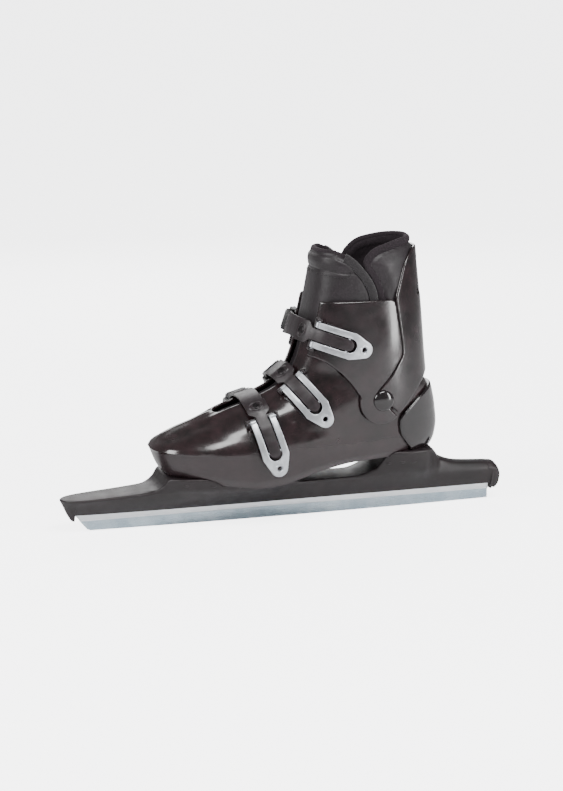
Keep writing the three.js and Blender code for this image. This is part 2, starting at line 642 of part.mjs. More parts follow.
function buildLadder(route) {
  const start = route.hingeAt > 0 ? lengthAt(route.ladder, (here) => here.x <= 0) + 10 : 0
  const points = linePoints(route.ladder, start, route.entry, 3.6)
  const along = route.ladder.getTangentAt(route.entry / route.ladder.getLength())
  points.push(...[0.5, 1].map((share) => points.at(-1).clone().addScaledVector(along, catchReach * share)))
  points.splice(-1, 1, points.at(-3).clone().addScaledVector(along, catchReach))
  return cut(strapSolid(points, () => strapWidth, () => strapThickness),
    tilted(bar(4.6, -10, 8, {}, 'z', 8), screwFrame(route)))
}

function buildStrapScrew(route) {
  const head = bar(8, 0.4, 1.7, {}, 'z', 12)
  const stem = bar(4, -3.5, 0.7, {}, 'z', 8)
  return tilted(join(head, stem), screwFrame(route))
}

// ---- catch pieces; the strap runs along +X through the frame's origin, +Z away from the boot ----
const catchHalf = strapWidth / 2 + 0.7
const catchWall = 2.2
const camPin = { x: 14, z: 6 }
const catchRivetAt = 18

function catchFrame(route) {
  const share = route.entry / route.ladder.getLength()
  const [here, along] = [route.ladder.getPointAt(share), route.ladder.getTangentAt(share)]
  const x = point(along.x, 0, along.y)
  const y = point(0, -1, 0)
  return new THREE.Matrix4().makeBasis(x, y, x.clone().cross(y)).setPosition(here.x, 0, here.y)
}

function buildCatchBody(keepOut) {
  const bed = block([-0.5, -catchHalf - catchWall, -9], [22, catchHalf + catchWall, -1.4])
  const wallSide = [[0, -2], [20, -2], [20, 4], [17, 8.6], [10, 8.6], [0, 5]]
  const walls = [-1, 1].map((side) =>
    sideCut(wallSide, catchWall).translate([0, side * (catchHalf + catchWall / 2), 0]))
  return cut(join(bed, ...walls), keepOut, bar(pinHole, -20, 20, camPin, 'y', 8),
    bar(rivetStem + 0.6, -20, 4, { x: catchRivetAt }, 'z', 8))
}

function buildCam() {
  const side = [[1.6, 2], [7, 1.4], [13, 3], [19, 4.2], [19.4, 7.4], [15, 9.4], [1, 8.6]]
  return cut(sideCut(side, 2 * (catchHalf - clearance)), bar(pinHole, -20, 20, camPin, 'y', 8))
}

function buildCatchRivet(inside) {
  const seat = -1.4 + clearance
  return cut(join(bar(6, seat, seat + 1.2, { x: catchRivetAt }, 'z', 12),
    bar(rivetStem, -12, seat + 0.3, { x: catchRivetAt }, 'z', 8)), inside)
}

// ---- boot pieces ----
const innerOffset = -shellWall - linerGap
const linerInside = innerOffset - linerThickness
const linerFloor = soleLevel + shellFloor + 0.6

function between(skin, outer, inner, low, high) {
  return cut(skinSolid(skin, outer, low, high), skinSolid(skin, inner, low - 2, high + 2))
}

function disc(radius, sides = 20) {
  return bar(2 * radius, -100, 100, pivot, 'y', sides)
}

const shellTop = [[-200, 400], [-200, 177], [16, 177], [28, 170], [44, 142], [60, 137], [200, 137],
  [200, 400]]

// Places and directions of every rivet that goes through the shell or the cuff, as world cutters.
function wallHoles(keys) {
  return frames.filter(({ buckle }) => keys.includes(buckle.key)).flatMap(({ frame, grip }) => {
    const base = bar(rivetStem + 0.6, -30, 6, { x: baseRivetAt }, 'z', 8)
    const end = bar(rivetStem + 0.6, -30, 0, { x: catchRivetAt }, 'z', 8)
    return [base.transform(frame.elements), end.transform(frame.clone().multiply(grip).elements)]
  })
}

function buildShell() {
  const hollow = skinSolid(shellSkin, -shellWall, soleLevel + shellFloor, 181)
  const slot = new THREE.Shape()
  const half = slotWidth / 2
  slot.moveTo(60, -half)
  slot.lineTo(60, half)
  slot.lineTo(-74 + half, half)
  slot.absarc(-74 + half, 0, half, Math.PI / 2, -Math.PI / 2, false)
  const seats = bolts.flatMap((bolt) => [
    bar(boltHead + 0.8, bolt.seat - clearance, bolt.seat + 6, { x: bolt.x }, 'z', 12),
    bar(boltShank + 2 * clearance, bolt.seat - 8, bolt.seat + 6, { x: bolt.x }, 'z', 12),
  ])
  return cut(shellOuter, hollow, sideCut(shellTop, 300), plate(slot, 92, 200), ...seats,
    bar(rivetShank + 2 * clearance, -100, 100, pivot, 'y', 16), ...wallHoles(['toe', 'instep']))
}

const linerTopLow = 134
const linerCut = [[-200, 400], [-200, 175], [26, 175], [36, 142], [38, linerTopLow],
  [200, linerTopLow], [200, 400]]

function buildLinerFoot() {
  const hollow = skinSolid(shellSkin, linerInside, linerFloor + 4, 181)
  const outside = skinSolid(shellSkin, innerOffset, linerFloor, 177)
  return cut(outside, hollow, sideCut(linerCut, 300))
}

function buildInsole() {
  const low = linerFloor + 4 + clearance
  return skinSolid(shellSkin, linerInside - 0.5, low, low + insoleThickness)
}

const collarSide = [[56, 146], [56, 186], [83, 188], [80, 222], [59, 255], [66, 262], [84, 266], [104, 270],
  [124, linerHeight], [160, linerHeight], [160, 146]]
const tongueSide = [[-20, 191], [-20, 262], [37, 262], [55, 254], [77, 221], [80, 191]]

function buildCollar() {
  return common(between(cuffSkin, innerOffset, linerInside, 140, 272), sideCut(collarSide, 200))
}

function buildTongue() {
  return common(between(cuffSkin, innerOffset, linerInside, 180, 268), sideCut(tongueSide, 200))
}

const earRadius = 23.4
const lapRadius = 14.5
const spoilerLine = [[96, cuffHeight], [104, 163], [76, 125.5], [pivot.x, pivot.z], [97, 106]]

function cuffSideShape() {
  const shape = new THREE.Shape()
  shape.moveTo(-40, cuffHeight)
  shape.lineTo(-40, 163)
  shape.lineTo(12, 163)
  shape.quadraticCurveTo(50, 152, 59.4, 122)
  shape.absarc(pivot.x, pivot.z, earRadius, Math.PI * 0.97, Math.PI * 1.75, false)
  for (const [x, z] of [...spoilerLine].reverse()) shape.lineTo(x - clearance, z)
  return shape
}

function spoilerSideShape() {
  const low = pivot.z - earRadius * 0.7
  return [[97 + clearance, 106], [pivot.x + earRadius * 0.72, low + 0.6], [138, 140], [170, 142],
    [170, spoilerHeight], [121, spoilerHeight], [108, 249], [97, cuffHeight + 4],
    ...spoilerLine.slice(0, 4).map(([x, z]) => [x + clearance, z])]
}

const cuffShell = between(cuffSkin, 0, -cuffWall, 88, 268)
const lap = (cuffWall - clearance) / 2
const outerLap = common(between(cuffSkin, 0, -lap, 88, 150), disc(lapRadius))
const innerLap = common(between(cuffSkin, -cuffWall + lap, -cuffWall, 88, 150), disc(lapRadius))
const lapKeepOut = (outer, inner) =>
  common(between(cuffSkin, outer, inner, 86, 152), disc(lapRadius + clearance))
const ankleHole = bar(rivetShank + 2 * clearance, -100, 100, pivot, 'y', 16)

// Behind the ankle the cuff runs on as a thin band inside the spoiler.
const bandSide = [[88, 152], [88, 202], [170, 202], [170, 152]]
const grownBand = [[80, 152 - clearance], [80, 202 + clearance], [170, 202 + clearance],
  [170, 152 - clearance]]
const band = common(between(cuffSkin, -cuffWall + lap, -cuffWall, 140, 210), sideCut(bandSide, 200))
const bandKeepOut = common(between(cuffSkin, -lap, -cuffWall - 1, 138, 212), sideCut(grownBand, 200))

function buildCuff() {
  const front = block([-100, -cuffGap / 2, 50], [60, cuffGap / 2, 300])
  const side = common(cuffShell, sideCut(cuffSideShape(), 200))
  const trimmed = cut(side, lapKeepOut(-lap, -cuffWall - 1))
  return cut(join(trimmed, outerLap, band), front, ankleHole, ...wallHoles(['cuff']))
}

function buildSpoiler() {
  const windows = [-1, 1].map((end) => plate([[-214, end * 9], [-248, end * 9], [-248, end * 15],
    [-214, end * 24]], 100, 160).rotate([0, 90, 0]))
  const side = common(cuffShell, sideCut(spoilerSideShape(), 200))
  const trimmed = cut(side, lapKeepOut(1, -cuffWall + lap), bandKeepOut)
  return cut(join(trimmed, innerLap), ankleHole, ...windows)
}

// Domed ankle rivet on one side: head outside the cuff, shank through both walls, flange inside.
function buildAnkleRivet(side) {
  const face = cuffSkin.halfWidth(pivot.x, pivot.z)
  const wall = shellSkin.halfWidth(pivot.x, pivot.z)
  const radius = rivetHead / 2
  const rim = [[0, -6], [radius, -6], [radius, 1], [radius * 0.85, 2.8], [radius * 0.45, 4.1], [0, 4.4]]
  const dome = new THREE.LatheGeometry(rim.map(([r, h]) => new THREE.Vector2(r, h)), 18)
  const turned = placed(dome).rotate([side > 0 ? 0 : 180, 0, 0])
  const head = cut(turned.translate([pivot.x, side * face, pivot.z]), cuffKeepOut)
  const shank = cut(bar(rivetShank, side * (wall - 9), side * (face + 2), pivot),
    skinSolid(shellSkin, -shellWall - 1.2))
  const flange = common(between(shellSkin, -shellWall - clearance, -shellWall - 1.3, 90, 145),
    bar(13, side * (wall - 12), side * wall, pivot))
  return join(head, shank, flange)
}

// ---- assembly ----
const frames = buckles.map((buckle) => {
  const frame = buckleFrame(buckle)
  const route = strapRoute(buckle, frame)
  return { buckle, frame, route, grip: catchFrame(route) }
})

addPiece('lower_shell', buildShell(), finishes.shellPlastic)
addPiece('liner_foot', buildLinerFoot(), finishes.linerLeather)
addPiece('insole', buildInsole(), finishes.footbedFelt)
addPiece('liner_collar', buildCollar(), finishes.linerLeather)
addPiece('liner_tongue', buildTongue(), finishes.linerLeather)
addPiece('cuff', buildCuff(), finishes.cuffPlastic)
addPiece('spoiler', buildSpoiler(), finishes.cuffPlastic)
addPiece('ankle_rivet_lateral', buildAnkleRivet(-1), finishes.shellPlastic)
addPiece('ankle_rivet_medial', buildAnkleRivet(1), finishes.shellPlastic)

for (const { buckle, frame, route, grip } of frames) {
  const name = (piece) => `${buckle.key}_${piece}`
  const inFrame = (solid, matrix) => solid.transform(matrix.clone().invert().elements)
  const keepOut = buckle.skin === shellSkin ? shellKeepOut : cuffKeepOut
  const inside = skinSolid(buckle.skin, -shellWall - 1)
  const buckleGroup = new THREE.Group()
  buckleGroup.applyMatrix4(frame)
  group.add(buckleGroup)
  addPiece(name('buckle_base'), buildBase(inFrame(keepOut, frame)), finishes.strapPlastic, buckleGroup)
  addPiece(name('base_rivet'), buildBaseRivet(inFrame(inside, frame)), finishes.pinSteel, buckleGroup)
  addPiece(name('fork'), buildFork(), finishes.alloy, buckleGroup)
  for (const [end, side] of [['toe', -1], ['heel', 1]]) {
    const ends = [side * (slotHalf + 0.6), side * (earInner + earThickness)]
    const pin = bar(pinDiameter, ...ends, { x: 0, z: 0 }, 'y', 8)
    addPiece(name(`hinge_pin_${end}_side`), pin, finishes.pinSteel, buckleGroup)
  }
  addPiece(name('strap_link'), buildLink(route), finishes.strapPlastic, buckleGroup)
  const linkPin = bar(pinDiameter, -forkHalf + 2, forkHalf - 2, linkPinSpot, 'y', 8)
  addPiece(name('link_pin'), linkPin, finishes.pinSteel, buckleGroup)
  addPiece(name('ladder_strap'), buildLadder(route), finishes.strapPlastic, buckleGroup)
  addPiece(name('strap_screw'), buildStrapScrew(route), finishes.pinSteel, buckleGroup)
  const catchGroup = new THREE.Group()
  catchGroup.applyMatrix4(grip)
  buckleGroup.add(catchGroup)
  const gripFrame = frame.clone().multiply(grip)
  const body = buildCatchBody(inFrame(keepOut, gripFrame))
  addPiece(name('catch_body'), body, finishes.catchPlastic, catchGroup)
  addPiece(name('catch_cam'), buildCam(), finishes.catchPlastic, catchGroup)
  const pinReach = catchHalf + catchWall + 0.8
  const catchPin = bar(pinDiameter, -pinReach, pinReach, camPin, 'y', 8)
  addPiece(name('catch_pin'), catchPin, finishes.pinSteel, catchGroup)
  addPiece(name('catch_rivet'), buildCatchRivet(inFrame(inside, gripFrame)), finishes.pinSteel, catchGroup)
}

export default group
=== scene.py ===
# Left speed skate: hinged-cuff boot, buckles, liner, blade holder, rail and runner.
# Drawn in millimetres and scaled to metres once, in makeObject. Toe -X, lateral -Y, up +Z.
import json
import math

import bmesh
import bpy
import numpy as np
from mathutils import Matrix, Vector


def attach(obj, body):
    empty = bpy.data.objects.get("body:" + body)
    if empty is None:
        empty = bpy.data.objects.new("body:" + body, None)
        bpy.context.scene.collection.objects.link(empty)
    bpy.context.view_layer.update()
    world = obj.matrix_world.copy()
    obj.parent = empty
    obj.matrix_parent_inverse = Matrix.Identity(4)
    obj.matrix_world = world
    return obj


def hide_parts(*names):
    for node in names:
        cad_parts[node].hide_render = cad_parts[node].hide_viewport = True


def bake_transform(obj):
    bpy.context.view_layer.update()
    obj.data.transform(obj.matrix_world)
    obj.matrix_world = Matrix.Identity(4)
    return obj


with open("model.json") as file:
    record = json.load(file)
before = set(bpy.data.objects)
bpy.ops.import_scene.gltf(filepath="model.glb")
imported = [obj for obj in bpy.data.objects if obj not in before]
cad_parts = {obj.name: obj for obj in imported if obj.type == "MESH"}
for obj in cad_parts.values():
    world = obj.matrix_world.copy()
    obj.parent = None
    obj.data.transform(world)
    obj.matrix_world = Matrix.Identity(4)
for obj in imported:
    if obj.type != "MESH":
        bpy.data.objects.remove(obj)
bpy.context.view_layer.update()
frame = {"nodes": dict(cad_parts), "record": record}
mm = 0.001
tau = 2 * math.pi
nodeBodies = {node: body for body, nodes in frame["record"]["behaviour"]["bodies"].items() for node in nodes}


# ---- curves and outlines ----
def smoothstep(value, low, high):
    share = np.clip((value - low) / (high - low), 0, 1)
    return share * share * (3 - 2 * share)


def curveThrough(pairs):  # smooth curve through [at, value] pairs that never overshoots
    at, value = np.array(pairs, float).T
    slope = np.diff(value) / np.diff(at)
    product = slope[:-1] * slope[1:]
    total = np.where(product > 0, slope[:-1] + slope[1:], 1)
    tangent = np.concatenate([slope[:1], np.where(product > 0, 2 * product / total, 0), slope[-1:]])

    def valueAt(x):
        x = np.clip(x, at[0], at[-1])
        i = np.clip(np.searchsorted(at, x, side="right") - 1, 0, len(at) - 2)
        step = at[i + 1] - at[i]
        t = (x - at[i]) / step
        return ((2 * t**3 - 3 * t**2 + 1) * value[i] + (t**3 - 2 * t**2 + t) * step * tangent[i]
                + (3 * t**2 - 2 * t**3) * value[i + 1] + (t**3 - t**2) * step * tangent[i + 1])
    return valueAt


def roundedLine(corners, closed=True, steps=6):  # corners are (x, y, radius)
    points = []
    count = len(corners)
    for i, (x, y, radius) in enumerate(corners):
        here = np.array([x, y], float)
        if radius <= 0 or (not closed and i in (0, count - 1)):
            points.append(here)
            continue
        before = np.array(corners[i - 1][:2], float) - here
        after = np.array(corners[(i + 1) % count][:2], float) - here
        lengths = [np.linalg.norm(before), np.linalg.norm(after)]
        reach = min(radius, 0.48 * lengths[0], 0.48 * lengths[1])
        start, end = here + before / lengths[0] * reach, here + after / lengths[1] * reach
        for k in range(steps + 1):
            t = k / steps
            points.append((1 - t)**2 * start + 2 * t * (1 - t) * here + t**2 * end)
    return np.array(points)


def insideBy(outline, x, y):  # signed distance to a closed outline, positive inside
    ends = np.roll(outline, -1, axis=0)
    spot = np.stack([x, y], -1)[:, None, :]
    run = ends - outline
    toSpot = spot - outline
    share = np.clip((toSpot * run).sum(-1) / np.maximum((run * run).sum(-1), 1e-12), 0, 1)
    away = np.linalg.norm(toSpot - share[..., None] * run, axis=-1).min(1)
    above = (outline[:, 1] > spot[..., 1]) != (ends[:, 1] > spot[..., 1])
    rise = np.where(run[:, 1] == 0, 1e-9, run[:, 1])
    crossing = outline[:, 0] + (spot[..., 1] - outline[:, 1]) * run[:, 0] / rise
    inside = (above & (spot[..., 0] < crossing)).sum(1) % 2 == 1
    return np.where(inside, away, -away)


# ---- meshes ----
def makeObject(name, points, faces, material, sharpAngle=40):
    mesh = bpy.data.meshes.new(name)
    mesh.from_pydata([tuple(p) for p in np.asarray(points, float) * mm], [], [tuple(f) for f in faces])
    mesh.materials.append(material)
    made = bpy.data.objects.new(name, mesh)
    bpy.context.scene.collection.objects.link(made)
    work = bmesh.new()
    work.from_mesh(mesh)
    bmesh.ops.remove_doubles(work, verts=work.verts, dist=1e-6)
    bmesh.ops.dissolve_degenerate(work, edges=work.edges, dist=1e-6)
    bmesh.ops.recalc_face_normals(work, faces=work.faces)
    work.to_mesh(mesh)
    work.free()
    shadeSmooth(made, sharpAngle)
    return made


def shadeSmooth(made, sharpAngle=40):
    mesh = made.data
    mesh.polygons.foreach_set("use_smooth", [True] * len(mesh.polygons))
    mesh.set_sharp_from_angle(angle=math.radians(sharpAngle))
    mesh.update()


def convert(made):  # bakes the modifiers into the mesh and removes them
    graph = bpy.context.evaluated_depsgraph_get()
    graph.update()
    mesh = bpy.data.meshes.new_from_object(made.evaluated_get(graph), depsgraph=graph)
    made.modifiers.clear()
    made.data = mesh
    return made


def joined(name, pieces):
    bpy.ops.object.select_all(action="DESELECT")
    for piece in pieces:
        piece.select_set(True)
    bpy.context.view_layer.objects.active = pieces[0]
    if len(pieces) > 1:
        bpy.ops.object.join()
    pieces[0].name = name
    pieces[0].data.name = name
    return pieces[0]


def gridFaces(rows, columns, closed=True):
    span = columns if closed else columns - 1
    return [(r * columns + c, r * columns + (c + 1) % columns, (r + 1) * columns + (c + 1) % columns,
             (r + 1) * columns + c) for r in range(rows - 1) for c in range(span)]


def loftObject(name, rings, material, sharpAngle=40, capped=True):
    rings = [np.asarray(ring, float) for ring in rings]
    rows, columns = len(rings), len(rings[0])
    points = np.concatenate(rings)
    faces = gridFaces(rows, columns)
    if capped:
        faces += [tuple(range(columns))[::-1], tuple(range((rows - 1) * columns, rows * columns))]
    return makeObject(name, points, faces, material, sharpAngle)


def meshNormals(points, faces):
    normals = np.zeros_like(points)
    for face in faces:
        a, b, c = points[face[0]], points[face[1]], points[face[2]]
        normal = np.cross(b - a, c - a)
        if len(face) > 3:
            normal = normal + np.cross(c - a, points[face[3]] - a)
        for i in face:
            normals[i] += normal
    return normals / np.maximum(np.linalg.norm(normals, axis=1), 1e-12)[:, None]


def divided(points, faces, field):
    # cuts the faces along field's zero line; gives points, faces and each face's side
    points = list(points)
    made, parts, sides = {}, [], []
    for face in faces:
        inside = [field[i] > 0 for i in face]
        if all(inside) or not any(inside):
            parts.append(tuple(face))
            sides.append(inside[0])
            continue
        halves = {True: [], False: []}
        for k, i in enumerate(face):
            j = face[(k + 1) % len(face)]
            here, there = bool(field[i] > 0), bool(field[j] > 0)
            halves[here].append(i)
            if here != there:
                key = (min(i, j), max(i, j))
                if key not in made:
                    share = np.clip(field[i] / (field[i] - field[j]), 0.03, 0.97)
                    made[key] = len(points)
                    points.append(points[i] + (points[j] - points[i]) * share)
                halves[True].append(made[key])
                halves[False].append(made[key])
        for side, corners in halves.items():
            if len(corners) > 2:
                parts.append(tuple(corners))
                sides.append(side)
    return np.array(points), parts, sides


def clipped(points, faces, field):  # keeps what lies where field is positive
    points, parts, sides = divided(points, faces, field)
    kept = [face for face, side in zip(parts, sides) if side]
    used = sorted({i for face in kept for i in face})
    renumber = {old: new for new, old in enumerate(used)}
    return points[used], [tuple(renumber[i] for i in face) for face in kept]


def thickened(points, faces, thickness, bulge, steps=5):
    # a wall under a surface, with rounded rims that swell past its edges by bulge
    normals = meshNormals(points, faces)
    count = len(points)
    inner = points - normals * thickness
    edges = {}
    for face in faces:
        for k, i in enumerate(face):
            j = face[(k + 1) % len(face)]
            edges[(i, j)] = face
    follow = {i: j for (i, j) in edges if (j, i) not in edges}
    before = {j: i for i, j in follow.items()}
    solidFaces = list(faces) + [tuple(i + count for i in reversed(face)) for face in faces]
    sides = {}
    for i, j in follow.items():
        side = np.cross(points[j] - points[before.get(i, i)], normals[i])
        sides[i] = side / max(np.linalg.norm(side), 1e-9)
    for _ in range(4):  # evens out the short edges that clipping leaves
        sides = {i: sides[before.get(i, i)] + 2 * side + sides.get(follow[i], side) for i,
                 side in sides.items()}
        sides = {i: side / max(np.linalg.norm(side), 1e-9) for i, side in sides.items()}
    extra, rimIndex = [], {}
    for i, side in sides.items():
        row = [i]
        for k in range(1, steps):
            turn = math.pi * k / steps
            row.append(2 * count + len(extra))
            extra.append(points[i] - normals[i] * thickness * (1 - math.cos(turn)) / 2
                         + side * bulge * math.sin(turn))
        rimIndex[i] = row + [i + count]
    for i, j in follow.items():
        a, b = rimIndex[i], rimIndex[j]
        solidFaces += [(a[k], a[k + 1], b[k + 1], b[k]) for k in range(steps)]
    everything = np.concatenate([points, inner] + ([np.array(extra)] if extra else []))
    return everything, solidFaces


def ringsAround(profile, sides=32):  # turned shape about Z from (radius, height) pairs
    turns = np.arange(sides) / sides * tau
    return [np.stack([r * np.cos(turns), r * np.sin(turns), np.full(sides, h)], -1) for r, h in profile]


def turnedObject(name, profile, matrix, material, sides=32, sharpAngle=35):
    rings = ringsAround([(max(r, 0.01), h) for r, h in profile], sides)
    return loftObject(name, [moved(ring, matrix) for ring in rings], material, sharpAngle)


def turnedRing(name, profile, matrix, material, sides=32, sharpAngle=35):  # a turned shape with an open bore
    rings = [moved(ring, matrix) for ring in ringsAround(profile + profile[:1], sides)]
    return loftObject(name, rings, material, sharpAngle, False)


def moved(points, matrix):
    turn = np.array(matrix)
    return np.asarray(points, float) @ turn[:3, :3].T + turn[:3, 3]


def plateObject(name, outlines, low, high, material, bevel=0.5, bend=None, cuts=(), place=None, axes="xy"):
    # flat outlines (the first outside, the rest holes) with rounded edges, bent if asked
    curve = bpy.data.curves.new(name, "CURVE")
    curve.dimensions = "2D"
    curve.fill_mode = "BOTH"
    curve.extrude = (high - low) / 2 - bevel
    curve.bevel_depth = bevel
    curve.bevel_resolution = 2
    curve.offset = -bevel
    for outline in outlines:
        spline = curve.splines.new("POLY")
        spline.points.add(len(outline) - 1)
        spline.use_cyclic_u = True
        for spot, (x, y) in zip(spline.points, outline):
            spot.co = (x, y, 0, 1)
    holder = bpy.data.objects.new(name, curve)
    bpy.context.scene.collection.objects.link(holder)
    graph = bpy.context.evaluated_depsgraph_get()
    mesh = bpy.data.meshes.new_from_object(holder.evaluated_get(graph), depsgraph=graph)
    bpy.data.objects.remove(holder)
    work = bmesh.new()
    work.from_mesh(mesh)
    bmesh.ops.remove_doubles(work, verts=work.verts, dist=0.002)
    for at in cuts:
        bmesh.ops.bisect_plane(work, geom=work.verts[:] + work.edges[:] + work.faces[:],
                               plane_co=(at, 0, 0), plane_no=(1, 0, 0))
    points = np.array([v.co[:] for v in work.verts])
    work.verts.index_update()
    faces = [tuple(v.index for v in f.verts) for f in work.faces]
    work.free()
    bpy.data.meshes.remove(mesh)
    points[:, 2] += (low + high) / 2
    if bend is not None:
        points[:, 2] += bend(points[:, 0])
    if axes == "xz":  # the outline was drawn as x, z and extruded along y
        points = np.stack([points[:, 0], points[:, 2], points[:, 1]], -1)
    if place is not None:
        points = moved(points, place)
    return makeObject(name, points, faces, material, 35)


def cutBy(made, cutter, operation="DIFFERENCE"):
    boolean = made.modifiers.new("cut", "BOOLEAN")
    boolean.object = cutter
    boolean.operation = operation
    boolean.solver = "EXACT"
    convert(made)
    return made


def standsFor(made, node, *others, slot=None):  # rides with its node and takes its place
    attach(made, nodeBodies[node])
    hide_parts(node, *others)
    return made


# ---- materials ----
def colour(code):
    channels = [int(code[i:i + 2], 16) / 255 for i in (1, 3, 5)]
    return [c / 12.92 if c <= 0.04045 else ((c + 0.055) / 1.055)**2.4 for c in channels] + [1]


def addNode(tree, kind, settings=None, values=None, links=None):
    node = tree.nodes.new(kind)
    for key, value in (settings or {}).items():
        setattr(node, key, value)
    for key, value in (values or {}).items():
        node.inputs[key].default_value = value
    for key, source in (links or {}).items():
        tree.links.new(source, node.inputs[key])
    return node


def newMaterial(name, shader):
    material = bpy.data.materials.new(name)
    material.use_nodes = True
    tree = material.node_tree
    surface = tree.nodes["Principled BSDF"]
    for key, value in shader.items():
        surface.inputs[key].default_value = value
    return material, tree, surface


def objectSpace(tree, scale=(1000, 1000, 1000)):  # object coordinates, in millimetres when scale is 1000
    source = addNode(tree, "ShaderNodeTexCoord")
    return addNode(tree, "ShaderNodeMapping", values={"Scale": scale},
                   links={"Vector": source.outputs["Object"]})


def noise(tree, place, size, detail=3.0, roughness=0.55):  # cloud size in millimetres
    return addNode(tree, "ShaderNodeTexNoise", values={"Scale": 1 / size, "Detail": detail,
                                                       "Roughness": roughness},
                   links={"Vector": place.outputs["Vector"]}).outputs["Fac"]


def ramp(tree, source, stops):
    node = addNode(tree, "ShaderNodeValToRGB", links={"Fac": source})
    band = node.color_ramp
    while len(band.elements) < len(stops):
        band.elements.new(0.5)
    for element, (at, value) in zip(band.elements, stops):
        element.position = at
        element.color = value if isinstance(value, list) else [value, value, value, 1]
    return node.outputs["Color"]


def bumped(tree, surface, height, strength, distance, under=None):
    links = {"Height": height}
    if under is not None:
        links["Normal"] = under
    bump = addNode(tree, "ShaderNodeBump", {}, {"Strength": strength, "Distance": distance * mm}, links)
    tree.links.new(bump.outputs["Normal"], surface.inputs["Normal"])
    return bump.outputs["Normal"]


def mouldedPlastic(name, settings):
    # injection-moulded plastic: flow clouds in the colour, uneven gloss, a fine texture and broad surface
    # waves
    material, tree, surface = newMaterial(name, {"IOR": 1.5, "Coat Weight": settings["coat"],
                                                 "Coat Roughness": 0.1})
    place = objectSpace(tree)
    clouds = noise(tree, place, settings["cloudSize"], 5, 0.62)
    tone = ramp(tree, clouds, [(0.32, colour(settings["dark"])), (0.72, colour(settings["light"]))])
    tree.links.new(tone, surface.inputs["Base Color"])
    patches = noise(tree, place, settings["glossPatch"], 4)
    gloss = ramp(tree, patches, [(0.3, settings["smooth"]), (0.75, settings["rough"])])
    tree.links.new(gloss, surface.inputs["Roughness"])
    grain = noise(tree, place, settings["grain"], 2)
    under = bumped(tree, surface, grain, settings["grainDepth"], 0.3)
    waves = noise(tree, place, settings["waveSize"], 2)
    bumped(tree, surface, waves, settings["waveDepth"], 2.0, under)
    return material, tree, surface


# polyurethane boot shell, injection moulded and released glossy:
# marbled brown-black with soft bright streaks
shellPlastic, shellTree, shellSurface = mouldedPlastic("shellPolyurethaneMoulded", {
    "dark": "#0e0808", "light": "#2c1d20", "cloudSize": 14, "glossPatch": 18, "smooth": 0.14, "rough": 0.3,
    "coat": 0.35, "grain": 0.9, "grainDepth": 0.05, "waveSize": 22, "waveDepth": 0.22})

# the same plastic on the hinged cuff, polished a little further
cuffPlastic = mouldedPlastic("cuffPolyurethanePolished", {
    "dark": "#0b0708", "light": "#291d20", "cloudSize": 14, "glossPatch": 24, "smooth": 0.12, "rough": 0.3,
    "coat": 0.45, "grain": 0.9, "grainDepth": 0.04, "waveSize": 26, "waveDepth": 0.25})[0]
# raised heel counter, the glossiest moulding on the boot
counterPlastic = mouldedPlastic("counterPolyurethaneGlossy", {
    "dark": "#0b0809", "light": "#1d1517", "cloudSize": 18, "glossPatch": 30, "smooth": 0.1, "rough": 0.22,
    "coat": 0.5, "grain": 0.9, "grainDepth": 0.03, "waveSize": 24, "waveDepth": 0.15})[0]
# glass-filled nylon blade holder, moulded with a fine spark-eroded texture: satin, dark brown-black
holderPlastic = mouldedPlastic("holderNylonMoulded", {
    "dark": "#120c0e", "light": "#1f1518", "cloudSize": 34, "glossPatch": 12, "smooth": 0.4, "rough": 0.54,
    "coat": 0.0, "grain": 0.5, "grainDepth": 0.22, "waveSize": 40, "waveDepth": 0.12})[0]
# nylon straps and buckle bases, satin grey-brown
strapPlastic = mouldedPlastic("strapNylonMoulded", {
    "dark": "#150f11", "light": "#271e22", "cloudSize": 9, "glossPatch": 6, "smooth": 0.34, "rough": 0.5,
    "coat": 0.0, "grain": 0.5, "grainDepth": 0.18, "waveSize": 9, "waveDepth": 0.1})[0]
# acetal catches, black and slightly waxy
catchPlastic = mouldedPlastic("catchAcetalMoulded", {
    "dark": "#050505", "light": "#0e0c0d", "cloudSize": 8, "glossPatch": 7, "smooth": 0.26, "rough": 0.42,
    "coat": 0.1, "grain": 0.5, "grainDepth": 0.12, "waveSize": 10, "waveDepth": 0.08})[0]


def mattedSole():  # below the toe crease the shell was left matte and greyer
    place = addNode(shellTree, "ShaderNodeTexCoord")
    parts = addNode(shellTree, "ShaderNodeSeparateXYZ", links={"Vector": place.outputs["Object"]})
    low = addNode(shellTree, "ShaderNodeMapRange", values={"From Min": 0.0785, "From Max": 0.0745},
                  links={"Value": parts.outputs["Z"]})
    share = addNode(shellTree, "ShaderNodeMath", {"operation": "MULTIPLY"}, {1: 0.62},
                    {0: low.outputs["Result"]}).outputs[0]
    tone = shellSurface.inputs["Base Color"].links[0].from_socket
    greyed = addNode(shellTree, "ShaderNodeMix", {"data_type": "RGBA"}, {7: colour("#271c1f")},
                     {0: share, 6: tone}).outputs[2]
    shellTree.links.new(greyed, shellSurface.inputs["Base Color"])
    gloss = shellSurface.inputs["Roughness"].links[0].from_socket
    matte = addNode(shellTree, "ShaderNodeMath", {"operation": "MULTIPLY_ADD"}, {1: 0.3},
                    {0: share, 2: gloss}).outputs[0]
    shellTree.links.new(matte, shellSurface.inputs["Roughness"])


mattedSole()


def metalFinish(name, settings):
    # bare metal: tone and roughness wander a little, with grinding lines or a cast grain in the normal
    material, tree, surface = newMaterial(name, {"Metallic": settings["metallic"]})
    place = objectSpace(tree)
    lines = objectSpace(tree, settings["lineScale"])
    tone = ramp(tree, noise(tree, place, settings["patch"], 4),
                [(0.3, colour(settings["dark"])), (0.7, colour(settings["light"]))])
    tree.links.new(tone, surface.inputs["Base Color"])
    scratch = noise(tree, lines, settings["line"], 3, 0.7)
    gloss = ramp(tree, scratch, [(0.25, settings["smooth"]), (0.8, settings["rough"])])
    tree.links.new(gloss, surface.inputs["Roughness"])
    bumped(tree, surface, scratch, settings["depth"], 0.12)
    return material
